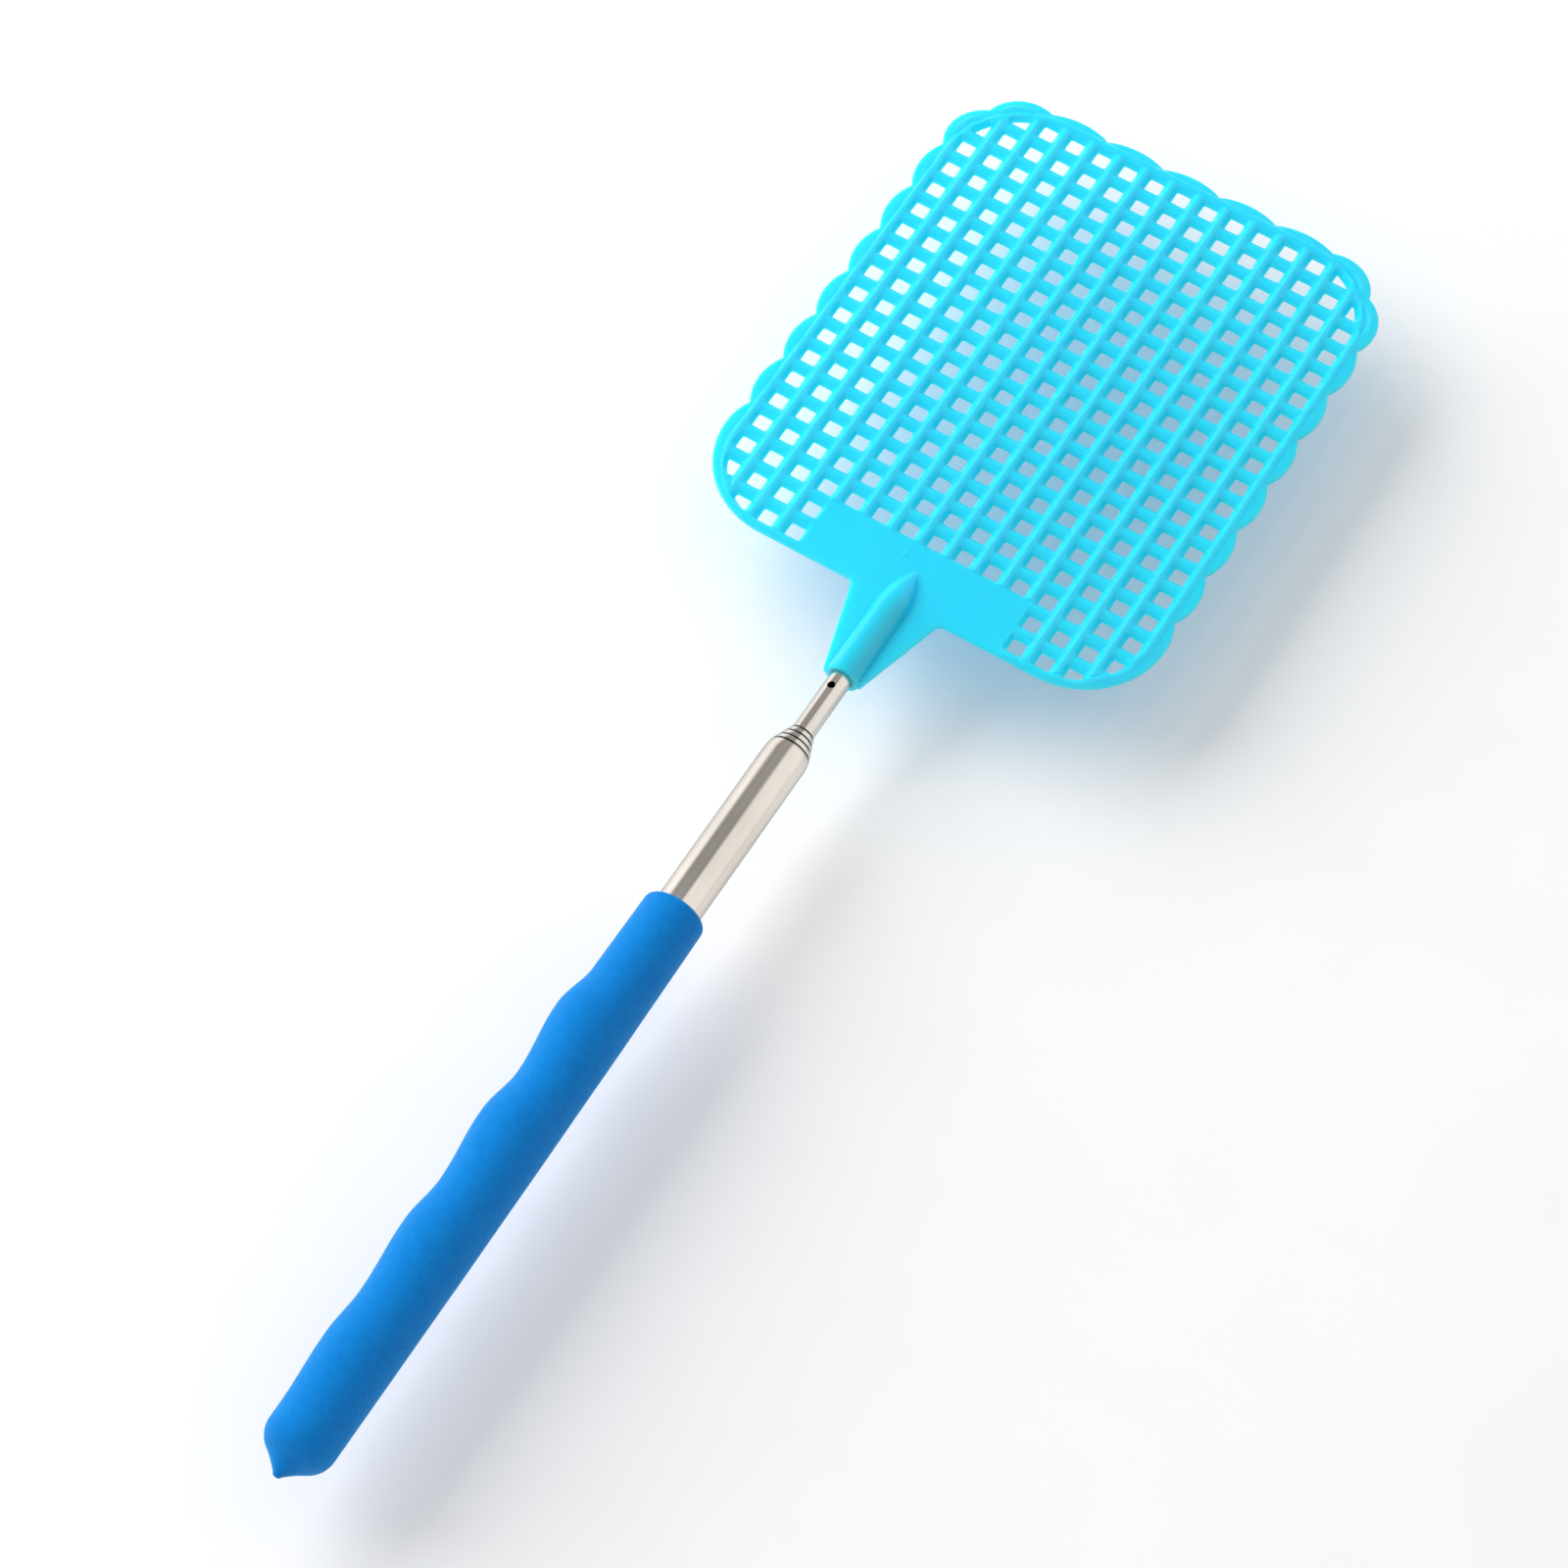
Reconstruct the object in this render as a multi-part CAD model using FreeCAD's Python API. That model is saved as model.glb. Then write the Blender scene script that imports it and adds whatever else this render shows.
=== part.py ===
import FreeCAD, Part

import math
import os

from FreeCAD import Vector

# A telescopic fly swatter, in millimetres.  It lies flat: the shaft runs along +Y from the butt of the
# grip (the origin) to the head, X runs across the head and +Z points out of the head's front face.

# ---- driving dimensions: the mesh head ----
PITCH = 5.4                      # centre to centre of the mesh openings
COLUMNS = 15
ROWS = 19
OPENING = 0.48 * PITCH           # side of an opening at the back face
OPENING_FRONT = 0.74 * PITCH     # the openings flare towards the front
GRID_CENTRE_Y = 232.0            # height of the row that the panel's rows are counted from
ROWS_BELOW = 8                   # rows below that row

PLATE_BACK = -0.75
PLATE_FRONT = 0.6
RIDGE_HEIGHT = 0.35              # ribs along the shaft and the rim's bead stand this proud
EDGE_LINE_HEIGHT = 0.2

HALF_WIDTH = 8.0 * PITCH
SCALLOP_CHORD = 2.05 * PITCH
TOP_SCALLOP_CHORD = 2.1 * PITCH
SIDE_RISE = 0.28 * PITCH         # height of a scallop over its chord
TOP_RISE = 0.22 * PITCH
CORNER_RISE = 0.48 * PITCH      # the two scallops at each top corner stand out further
SIDE_SCALLOPS = 6
TOP_SCALLOPS = 5
FIRST_VALLEY_Y = GRID_CENTRE_Y - 4.6 * PITCH
TOP_VALLEY_Y = GRID_CENTRE_Y + 10.72 * PITCH
CORNER_VALLEY = (7.12 * PITCH, GRID_CENTRE_Y + 9.74 * PITCH)
BOTTOM_EDGE_Y = GRID_CENTRE_Y - 8.63 * PITCH
BOTTOM_CORNER_RADIUS = 3.0 * PITCH

MESH_HALF_WIDTH = 7.35 * PITCH   # the rim's inner boundary
MESH_TOP_Y = GRID_CENTRE_Y + 10.4 * PITCH
MESH_BOTTOM_Y = GRID_CENTRE_Y - 8.35 * PITCH
MESH_TOP_RADIUS = 2.8 * PITCH
MESH_BOTTOM_RADIUS = 2.45 * PITCH
BEAD_WIDTH = 0.9

PANEL_COLUMNS = 3                # the solid panel covers this many columns each side of the middle
PANEL_HALF_WIDTH = 3.6 * PITCH
PANEL_TOP_Y = GRID_CENTRE_Y - 6.37 * PITCH

NECK_END_Y = 167.5               # lower end of the head's socket
WEB_HALF_WIDTH_ROOT = 1.57 * PITCH
WEB_HALF_WIDTH_END = 0.65 * PITCH
SOCKET_RADIUS = 3.05
SOCKET_NOSE_START_Y = GRID_CENTRE_Y - 9.0 * PITCH
SOCKET_NOSE_END_Y = GRID_CENTRE_Y - 7.25 * PITCH
ROD_TOP_Y = NECK_END_Y + 16.5    # the rod ends this deep in the socket
KEY_HOLE_Y = NECK_END_Y + 9.0    # moulded key through the rod, inside the socket
OPEN_HOLE_Y = NECK_END_Y - 2.9   # the same drilling, left open below the socket
CROSS_HOLE_RADIUS = 0.7
OPEN_HOLE_TURN = -9.0            # degrees about the shaft from +Z

# ---- driving dimensions: the telescopic shaft, outermost section first ----
SECTION_RADII = [4.0, 3.5, 3.0, 2.5, 2.0]
WALLS = [0.25, 0.25, 0.25, 0.25, 0.5]
MOUTHS_Y = [151.0, 152.3, 153.6, 154.9]
SHOULDERS = [2.4, 1.25, 1.25, 1.25]   # length over which each mouth is rolled in
LIP_DROP = 0.32                  # how far a mouth's outer edge is rolled in
LIP_BORE_DROP = 0.42             # how far its bore is rolled in
LIP_GROOVE = 0.35                # depth of the groove between a lip and the next section
LIP_LAND = 0.25                  # length of the bore that guides the next section

TUBE_BOTTOM_Y = 9.5              # lower end of the outer tube
BASE_PLUG_FLANGE = 1.5
BASE_PLUG_SPIGOT = 4.5
NEST_GAP = 0.3                   # axial gap between nested plugs, and left at a stop
PLUG_FLANGE = 1.2
PLUG_SPIGOT = 4.5
PLUG_CLEARANCE = 0.05            # radial, plug flange in the next tube's bore
SPRING_START = 1.6               # height of the friction spring's lower end over its plug's lower face
SPRING_LENGTH = 12.0
SPRING_CLEARANCE = 0.02          # radial, inside and outside
SPRING_SLOT = 1.2
BEAD_START = 14.0                # height of the stop bead over the plug's lower face
BEAD_LENGTH = 1.2
BEAD_RISE = 0.17

# ---- driving dimensions: the dipped grip ----
GRIP_TOP_Y = 115.3
GRIP_BORE_BOTTOM_Y = TUBE_BOTTOM_Y - BASE_PLUG_FLANGE
GRIP_RADIUS = 6.0
GRIP_TOP_TAPER = 0.5             # the radius lost towards the top
GRIP_TAPER_START_Y = 30.0
GRIP_LIP_RADIUS = 1.2
GRIP_BANDS = 52                  # short conical bands that make up the waved length
FIRST_BUMP_Y = 90.3
BUMP_SPACING = 22.3
BUMPS = 4
FIRST_BUMP_HEIGHT = 1.35
BUMP_HEIGHT_STEP = 0.25          # each bump is this much lower than the one above
BUMP_HEAD_SIDE = 8.3             # length of a bump's steep side
BUMP_BUTT_SIDE = BUMP_SPACING - BUMP_HEAD_SIDE
BUTT_TOP_Y = FIRST_BUMP_Y - (BUMPS - 1) * BUMP_SPACING - BUMP_BUTT_SIDE
BUTT_CONE = (4.3, 3.6)           # radius and height where the blunt cone meets the rounded shoulder
BUTT_SHOULDER_Y = 7.2            # height where the shoulder runs straight into the side
DRIP_RADIUS = 0.8                # rounded point left where the dipped compound ran off


def arc(start, through, end):
    return Part.Arc(Vector(*start), Vector(*through), Vector(*end)).toShape()


def line(start, end):
    return Part.makeLine(Vector(*start), Vector(*end))


def polygon_wire(points):
    closed = [Vector(*point) for point in points] + [Vector(*points[0])]
    return Part.makePolygon(closed)


def revolve(edges):
    """Turn a closed profile, drawn with x as the radius, once about the shaft's axis."""
    face = Part.Face(Part.Wire(edges))
    return face.revolve(Vector(0, 0, 0), Vector(0, 1, 0), 360)


def cylinder(radius, low_y, high_y):
    return Part.makeCylinder(radius, high_y - low_y, Vector(0, low_y, 0), Vector(0, 1, 0))


def scallop(start, end, rise):
    """An arc from start to end that bulges to the right of the way it runs."""
    along_x = end[0] - start[0]
    along_y = end[1] - start[1]
    chord = math.hypot(along_x, along_y)
    middle_x = (start[0] + end[0]) / 2 + rise * along_y / chord
    middle_y = (start[1] + end[1]) / 2 - rise * along_x / chord
    return arc((start[0], start[1], 0), (middle_x, middle_y, 0), (end[0], end[1], 0))


# ---------------------------------------------------------------- the head

def side_edges():
    """The head's right-hand outline, from the socket's end to the first valley of the top edge."""
    neck = (WEB_HALF_WIDTH_END, NECK_END_Y, 0)
    root = (WEB_HALF_WIDTH_ROOT, BOTTOM_EDGE_Y, 0)
    widest = HALF_WIDTH - 0.03 * PITCH
    centre = (widest - BOTTOM_CORNER_RADIUS, BOTTOM_EDGE_Y + BOTTOM_CORNER_RADIUS)
    corner_start = (centre[0], BOTTOM_EDGE_Y, 0)
    diagonal = BOTTOM_CORNER_RADIUS / math.sqrt(2)
    corner_middle = (centre[0] + diagonal, centre[1] - diagonal, 0)
    corner_end = (widest, centre[1])
    valley_x = HALF_WIDTH - SIDE_RISE
    edges = [
        line(neck, root),
        line(root, corner_start),
        arc(corner_start, corner_middle, (corner_end[0], corner_end[1], 0)),
    ]
    valleys = [(valley_x, FIRST_VALLEY_Y + index * SCALLOP_CHORD) for index in range(SIDE_SCALLOPS + 1)]
    edges.append(scallop(corner_end, valleys[0], 0.07 * PITCH))
    for low, high in zip(valleys, valleys[1:]):
        edges.append(scallop(low, high, SIDE_RISE))
    top_start = (TOP_SCALLOPS * TOP_SCALLOP_CHORD / 2, TOP_VALLEY_Y)
    edges.append(scallop(valleys[-1], CORNER_VALLEY, CORNER_RISE))
    edges.append(scallop(CORNER_VALLEY, top_start, CORNER_RISE))
    return edges


def head_outline():
    right = side_edges()
    left = [edge.mirror(Vector(0, 0, 0), Vector(1, 0, 0)) for edge in right]
    start_x = TOP_SCALLOPS * TOP_SCALLOP_CHORD / 2
    top = []
    for index in range(TOP_SCALLOPS):
        near = (start_x - index * TOP_SCALLOP_CHORD, TOP_VALLEY_Y)
        far = (near[0] - TOP_SCALLOP_CHORD, TOP_VALLEY_Y)
        top.append(scallop(near, far, TOP_RISE))
    end = line((-WEB_HALF_WIDTH_END, NECK_END_Y, 0), (WEB_HALF_WIDTH_END, NECK_END_Y, 0))
    return Part.Wire(Part.__sortEdges__(right + top + left + [end]))


def rounded_rectangle(half_width, low_y, high_y, low_radius, high_radius):
    """A closed wire with one radius for its two lower corners and one for its two upper corners."""
    def corner(centre_x, centre_y, radius, from_angle):
        points = []
        for turn in (0, 45, 90):
            angle = math.radians(from_angle + turn)
            points.append((centre_x + radius * math.cos(angle), centre_y + radius * math.sin(angle), 0))
        return points
    corners = [
        corner(half_width - low_radius, low_y + low_radius, low_radius, -90),
        corner(half_width - high_radius, high_y - high_radius, high_radius, 0),
        corner(high_radius - half_width, high_y - high_radius, high_radius, 90),
        corner(low_radius - half_width, low_y + low_radius, low_radius, 180),
    ]
    edges = []
    for index, points in enumerate(corners):
        edges.append(arc(*points))
        edges.append(line(points[2], corners[(index + 1) % 4][0]))
    return Part.Wire(edges)


def mesh_region(grow=0.0):
    return rounded_rectangle(MESH_HALF_WIDTH + grow, MESH_BOTTOM_Y - grow, MESH_TOP_Y + grow,
                             MESH_BOTTOM_RADIUS + grow, MESH_TOP_RADIUS + grow)


def slab(wire, low_z, high_z):
    face = Part.Face(wire)
    face.translate(Vector(0, 0, low_z))
    return face.extrude(Vector(0, 0, high_z - low_z))


def inside_mesh_region(x, y):
    """Whether an opening's centre lies inside the rim's inner boundary, with its rounded corners."""
    upper = y > GRID_CENTRE_Y
    radius = MESH_TOP_RADIUS if upper else MESH_BOTTOM_RADIUS
    past_x = abs(x) - (MESH_HALF_WIDTH - radius)
    past_y = y - (MESH_TOP_Y - radius) if upper else (MESH_BOTTOM_Y + radius) - y
    if past_x > 0 and past_y > 0:
        return math.hypot(past_x, past_y) < radius
    return past_x < radius and past_y < radius


def meets_mesh_region(x, y):
    """Whether the corner of an opening that is nearest the middle of the mesh lies in the region."""
    nearest_x = max(0.0, abs(x) - OPENING / 2)
    nearest_y = y - OPENING / 2 if y > GRID_CENTRE_Y else y + OPENING / 2
    return inside_mesh_region(nearest_x, nearest_y)


def opening_centres():
    centres = []
    middle = COLUMNS // 2
    for row in range(-ROWS_BELOW, ROWS - ROWS_BELOW):
        y = GRID_CENTRE_Y + row * PITCH
        for column in range(-middle, middle + 1):
            x = column * PITCH
            in_panel = abs(column) <= PANEL_COLUMNS and y < PANEL_TOP_Y
            if meets_mesh_region(x, y) and not in_panel:
                centres.append((x, y))
    return centres


def opening_cutter(x, y):
    """A square funnel through the plate, wider at the front."""
    reach = 1.0
    depth = PLATE_FRONT - PLATE_BACK
    flare = (OPENING_FRONT - OPENING) / depth
    wires = []
    for z in (PLATE_BACK - reach, PLATE_FRONT + reach):
        half = (OPENING + flare * (z - PLATE_BACK)) / 2
        wires.append(polygon_wire([(x - half, y - half, z), (x + half, y - half, z),
                                   (x + half, y + half, z), (x - half, y + half, z)]))
    return Part.makeLoft(wires, True, True)


def openings():
    whole = []
    clipped = []
    tall = slab(mesh_region(), PLATE_BACK - 2, PLATE_FRONT + 2)
    half = OPENING_FRONT / 2
    for x, y in opening_centres():
        corners_inside = all(inside_mesh_region(x + dx, y + dy) for dx in (-half, half) for dy in (-half, half))
        if corners_inside:
            whole.append(opening_cutter(x, y))
        else:
            clipped.append(opening_cutter(x, y).common(tall))
    return whole + clipped


def ridges():
    """The raised crests of the ribs that run along the shaft."""
    base_half = (PITCH - OPENING_FRONT) / 2
    crest_half = 0.3 * base_half
    sink = 0.1
    bars = []
    for index in range(COLUMNS - 1):
        x = (index - (COLUMNS - 2) / 2) * PITCH
        start_y = PANEL_TOP_Y if abs(x) < PANEL_HALF_WIDTH else MESH_BOTTOM_Y
        wire = polygon_wire([(x - base_half, start_y, PLATE_FRONT - sink),
                             (x + base_half, start_y, PLATE_FRONT - sink),
                             (x + crest_half, start_y, PLATE_FRONT + RIDGE_HEIGHT),
                             (x - crest_half, start_y, PLATE_FRONT + RIDGE_HEIGHT)])
        bars.append(Part.Face(wire).extrude(Vector(0, MESH_TOP_Y - start_y, 0)))
    tall = slab(mesh_region(0.2), PLATE_BACK, PLATE_FRONT + 2)
    return [bar.common(tall) for bar in bars]


def rim_bead():
    """The bead that hugs the mesh, open where the panel runs into the lower edge."""
    sink = 0.1
    ring = slab(mesh_region(BEAD_WIDTH), PLATE_FRONT - sink, PLATE_FRONT + RIDGE_HEIGHT)
    ring = ring.cut(slab(mesh_region(), PLATE_FRONT - 1, PLATE_FRONT + 1))
    gap = Part.makeBox(2 * PANEL_HALF_WIDTH, 4 * PITCH, 4,
                       Vector(-PANEL_HALF_WIDTH, MESH_BOTTOM_Y - 2 * PITCH, PLATE_FRONT - 2))
    return ring.cut(gap)


def edge_line(outline):
    """The low raised line that follows the scalloped edge."""
    sink = 0.1
    width = 0.7
    outer = slab(outline, PLATE_FRONT - sink, PLATE_FRONT + EDGE_LINE_HEIGHT)
    inner_face = Part.Face(outline).makeOffset2D(-width)
    inner_face.translate(Vector(0, 0, PLATE_FRONT - 1))
    ring = outer.cut(inner_face.extrude(Vector(0, 0, 2)))
    scalloped = Part.makeBox(4 * HALF_WIDTH, 30 * PITCH, 4, Vector(-2 * HALF_WIDTH, FIRST_VALLEY_Y, PLATE_FRONT - 2))
    return ring.common(scalloped)


def socket_body():
    """The bulging socket: a cylinder with a pointed nose that dies into the panel."""
    nose = SOCKET_NOSE_END_Y - SOCKET_NOSE_START_Y
    swing = (nose ** 2 + SOCKET_RADIUS ** 2) / (2 * SOCKET_RADIUS)
    half_angle = math.asin(nose / swing) / 2
    through = (SOCKET_RADIUS - swing + swing * math.cos(half_angle),
               SOCKET_NOSE_START_Y + swing * math.sin(half_angle), 0)
    shoulder = (SOCKET_RADIUS, SOCKET_NOSE_START_Y, 0)
    tip = (0, SOCKET_NOSE_END_Y, 0)
    return revolve([
        line((0, NECK_END_Y, 0), (SOCKET_RADIUS, NECK_END_Y, 0)),
        line((SOCKET_RADIUS, NECK_END_Y, 0), shoulder),
        arc(shoulder, through, tip),
        line(tip, (0, NECK_END_Y, 0)),
    ])


def moulding_key():
    """The plug of plastic that sets in the rod's drilling and holds the head on."""
    reach = SECTION_RADII[-1] + 0.2
    return Part.makeCylinder(CROSS_HOLE_RADIUS, 2 * reach, Vector(0, KEY_HOLE_Y, -reach), Vector(0, 0, 1))


def swatter_head():
    outline = head_outline()
    plate = slab(outline, PLATE_BACK, PLATE_FRONT)
    plate = plate.cut(openings())
    plate = plate.fuse(ridges() + [rim_bead(), edge_line(outline), socket_body()])
    plate = plate.removeSplitter()
    rod_seat = cylinder(SECTION_RADII[-1], NECK_END_Y - 1, ROD_TOP_Y)
    return plate.cut(rod_seat).fuse(moulding_key())


# ---------------------------------------------------------------- the telescopic shaft

def plug_floor(stage):
    """Height of the lower face of a section's plug with the shaft pushed together."""
    first = TUBE_BOTTOM_Y + BASE_PLUG_SPIGOT + NEST_GAP
    return first + (stage - 1) * (PLUG_FLANGE + PLUG_SPIGOT + NEST_GAP)


def bore_radius(stage):
    return SECTION_RADII[stage] - WALLS[stage]


def mouth_edges(radius, bore, mouth_y, shoulder):
    """A rolled-in mouth: outer wall, lip, groove and bore, from the outer wall's end to the bore's end."""
    drop = LIP_DROP
    swing = (drop ** 2 + shoulder ** 2) / (2 * drop)
    half_angle = math.asin(shoulder / swing) / 2
    roll_start = (radius, mouth_y - shoulder, 0)
    roll_middle = (radius - swing + swing * math.cos(half_angle), mouth_y - shoulder + swing * math.sin(half_angle), 0)
    lip = (radius - drop, mouth_y, 0)
    land_top = (radius - LIP_BORE_DROP, mouth_y - LIP_GROOVE, 0)
    land_bottom = (radius - LIP_BORE_DROP, mouth_y - LIP_GROOVE - LIP_LAND, 0)
    bore_end = (bore, mouth_y - shoulder, 0)
    edges = [
        arc(roll_start, roll_middle, lip),
        line(lip, land_top),
        line(land_top, land_bottom),
        line(land_bottom, bore_end),
    ]
    return edges, roll_start, bore_end


def stop_bead_edges(radius, floor_y):
    """The rolled bead near a section's lower end that meets the mouth outside it at full reach."""
    low = (radius, floor_y + BEAD_START, 0)
    middle = (radius + BEAD_RISE, floor_y + BEAD_START + BEAD_LENGTH / 2, 0)
    high = (radius, floor_y + BEAD_START + BEAD_LENGTH, 0)
    return arc(low, middle, high), low, high


def outer_tube():
    radius = SECTION_RADII[0]
    bore = bore_radius(0)
    mouth, roll_start, bore_end = mouth_edges(radius, bore, MOUTHS_Y[0], SHOULDERS[0])
    outer_foot = (radius, TUBE_BOTTOM_Y, 0)
    inner_foot = (bore, TUBE_BOTTOM_Y, 0)
    return revolve([line(outer_foot, roll_start)] + mouth
                   + [line(bore_end, inner_foot), line(inner_foot, outer_foot)])


def middle_tube(stage):
    radius = SECTION_RADII[stage]
    bore = bore_radius(stage)
    floor_y = plug_floor(stage)
    mouth, roll_start, bore_end = mouth_edges(radius, bore, MOUTHS_Y[stage], SHOULDERS[stage])
    bead, bead_low, bead_high = stop_bead_edges(radius, floor_y)
    outer_foot = (radius, floor_y + PLUG_FLANGE, 0)
    inner_foot = (bore, floor_y + PLUG_FLANGE, 0)
    return revolve([line(outer_foot, bead_low), bead, line(bead_high, roll_start)] + mouth
                   + [line(bore_end, inner_foot), line(inner_foot, outer_foot)])


def cross_hole(y, turn):
    """A drilling through both walls of the rod."""
    reach = 2 * SECTION_RADII[-1]
    hole = Part.makeCylinder(CROSS_HOLE_RADIUS, 2 * reach, Vector(0, y, -reach), Vector(0, 0, 1))
    hole.rotate(Vector(0, y, 0), Vector(0, 1, 0), turn)
    return hole


def tip_rod():
    stage = len(SECTION_RADII) - 1
    radius = SECTION_RADII[stage]
    bore = bore_radius(stage)
    floor_y = plug_floor(stage)
    bead, bead_low, bead_high = stop_bead_edges(radius, floor_y)
    outer_foot = (radius, floor_y + PLUG_FLANGE, 0)
    inner_foot = (bore, floor_y + PLUG_FLANGE, 0)
    rod = revolve([
        line(outer_foot, bead_low),
        bead,
        line(bead_high, (radius, ROD_TOP_Y, 0)),
        line((radius, ROD_TOP_Y, 0), (bore, ROD_TOP_Y, 0)),
        line((bore, ROD_TOP_Y, 0), inner_foot),
        line(inner_foot, outer_foot),
    ])
    return rod.cut(cross_hole(KEY_HOLE_Y, 0)).cut(cross_hole(OPEN_HOLE_Y, OPEN_HOLE_TURN))


def end_plug(stage):
    """A brass plug pressed into a section's lower end; its flange guides the section and holds the spring."""
    floor_y = plug_floor(stage)
    flange_radius = bore_radius(stage - 1) - PLUG_CLEARANCE
    flange = cylinder(flange_radius, floor_y, floor_y + PLUG_FLANGE)
    spigot = cylinder(bore_radius(stage), floor_y + PLUG_FLANGE, floor_y + PLUG_FLANGE + PLUG_SPIGOT)
    return flange.fuse(spigot).removeSplitter()


def friction_spring(stage):
    """A split sleeve of spring bronze that rubs on the bore of the section outside it."""
    low_y = plug_floor(stage) + SPRING_START
    high_y = low_y + SPRING_LENGTH
    sleeve = cylinder(bore_radius(stage - 1) - SPRING_CLEARANCE, low_y, high_y)
    sleeve = sleeve.cut(cylinder(SECTION_RADII[stage] + SPRING_CLEARANCE, low_y - 1, high_y + 1))
    slot = Part.makeBox(SPRING_SLOT, SPRING_LENGTH + 2, 2 * SECTION_RADII[0],
                        Vector(-SPRING_SLOT / 2, low_y - 1, -2 * SECTION_RADII[0]))
    return sleeve.cut(slot)


def base_plug():
    """Closes the outer tube's lower end, inside the grip."""
    flange = cylinder(SECTION_RADII[0], TUBE_BOTTOM_Y - BASE_PLUG_FLANGE, TUBE_BOTTOM_Y)
    spigot = cylinder(bore_radius(0), TUBE_BOTTOM_Y, TUBE_BOTTOM_Y + BASE_PLUG_SPIGOT)
    return flange.fuse(spigot).removeSplitter()


# ---------------------------------------------------------------- the grip

def grip_base_radius(y):
    past = max(0.0, (y - GRIP_TAPER_START_Y) / (GRIP_TOP_Y - GRIP_TAPER_START_Y))
    return GRIP_RADIUS - GRIP_TOP_TAPER * past ** 2


def bump_height(y):
    """Height of the finger bumps on the -X side: steep towards the head, gentle towards the butt."""
    for index in range(BUMPS):
        crest_y = FIRST_BUMP_Y - index * BUMP_SPACING
        side = BUMP_HEAD_SIDE if y > crest_y else BUMP_BUTT_SIDE
        away = abs(y - crest_y) / side
        if away < 1:
            height = FIRST_BUMP_HEIGHT - index * BUMP_HEIGHT_STEP
            return height * (1 + math.cos(math.pi * away)) / 2
    return 0.0


def grip_section(y):
    """Each bump is an eccentric circle, so the opposite side of the grip stays straight."""
    height = bump_height(y)
    radius = grip_base_radius(y) + height / 2
    return Part.Wire(Part.makeCircle(radius, Vector(-height / 2, y, 0), Vector(0, 1, 0)))


def grip_body():
    low_y = BUTT_TOP_Y
    high_y = GRIP_TOP_Y - GRIP_LIP_RADIUS
    step = (high_y - low_y) / GRIP_BANDS
    sections = [grip_section(low_y + index * step) for index in range(GRIP_BANDS + 1)]
    return Part.makeLoft(sections, True, True)


def grip_butt():
    """The blunt cone at the butt, with a rounded shoulder and a small rounded point."""
    top_radius = grip_base_radius(BUTT_TOP_Y)
    flank_middle = (0.55 * BUTT_CONE[0], 0.43 * BUTT_CONE[1], 0)
    point = (0.5 * DRIP_RADIUS, 0.15 * DRIP_RADIUS, 0)
    top = (top_radius, BUTT_TOP_Y, 0)
    cone = (BUTT_CONE[0], BUTT_CONE[1], 0)
    inset = top_radius - BUTT_CONE[0]
    drop = BUTT_SHOULDER_Y - BUTT_CONE[1]
    swing = (inset ** 2 + drop ** 2) / (2 * inset)
    half_angle = math.asin(drop / swing) / 2
    shoulder_top = (top_radius, BUTT_SHOULDER_Y, 0)
    shoulder_middle = (top_radius - swing + swing * math.cos(half_angle),
                       BUTT_SHOULDER_Y - swing * math.sin(half_angle), 0)
    return revolve([
        line((0, BUTT_TOP_Y, 0), (0, 0, 0)),
        arc((0, 0, 0), point, (DRIP_RADIUS, 0.6 * DRIP_RADIUS, 0)),
        arc((DRIP_RADIUS, 0.6 * DRIP_RADIUS, 0), flank_middle, cone),
        arc(cone, shoulder_middle, shoulder_top),
        line(shoulder_top, top),
        line(top, (0, BUTT_TOP_Y, 0)),
    ])


def grip_lip():
    low_y = GRIP_TOP_Y - GRIP_LIP_RADIUS
    radius = grip_base_radius(low_y)
    inner = radius - GRIP_LIP_RADIUS
    diagonal = GRIP_LIP_RADIUS / math.sqrt(2)
    return revolve([
        line((0, low_y, 0), (radius, low_y, 0)),
        arc((radius, low_y, 0), (inner + diagonal, low_y + diagonal, 0), (inner, GRIP_TOP_Y, 0)),
        line((inner, GRIP_TOP_Y, 0), (0, GRIP_TOP_Y, 0)),
        line((0, GRIP_TOP_Y, 0), (0, low_y, 0)),
    ])


def grip():
    sleeve = grip_body().fuse([grip_butt(), grip_lip()])
    return sleeve.cut(cylinder(SECTION_RADII[0], GRIP_BORE_BOTTOM_Y, GRIP_TOP_Y + 1))


def main():
    os.makedirs("parts", exist_ok=True)
    nodes = {
        "swatter_head": swatter_head(),
        "grip": grip(),
        "base_plug": base_plug(),
        "outer_tube": outer_tube(),
        "second_tube": middle_tube(1),
        "third_tube": middle_tube(2),
        "fourth_tube": middle_tube(3),
        "tip_rod": tip_rod(),
    }
    for stage, owner in enumerate(["second_tube", "third_tube", "fourth_tube", "tip_rod"], start=1):
        nodes[owner + "_plug"] = end_plug(stage)
        nodes[owner + "_spring"] = friction_spring(stage)
        reach = MOUTHS_Y[stage - 1] - SHOULDERS[stage - 1] - NEST_GAP
        travel = reach - (plug_floor(stage) + BEAD_START + BEAD_LENGTH)
        print(owner, "slides", round(travel, 3), "mm")
    for name, shape in nodes.items():
        shape.exportStep("parts/" + name + ".step")
        solids = len(shape.Solids)
        print(name, "solids", solids, "volume", round(shape.Volume, 1), "valid", shape.isValid())


main()
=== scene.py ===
import math

import bmesh
import bpy
import numpy as np
from mathutils import Matrix, Vector
from mathutils.geometry import delaunay_2d_cdt


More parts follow.
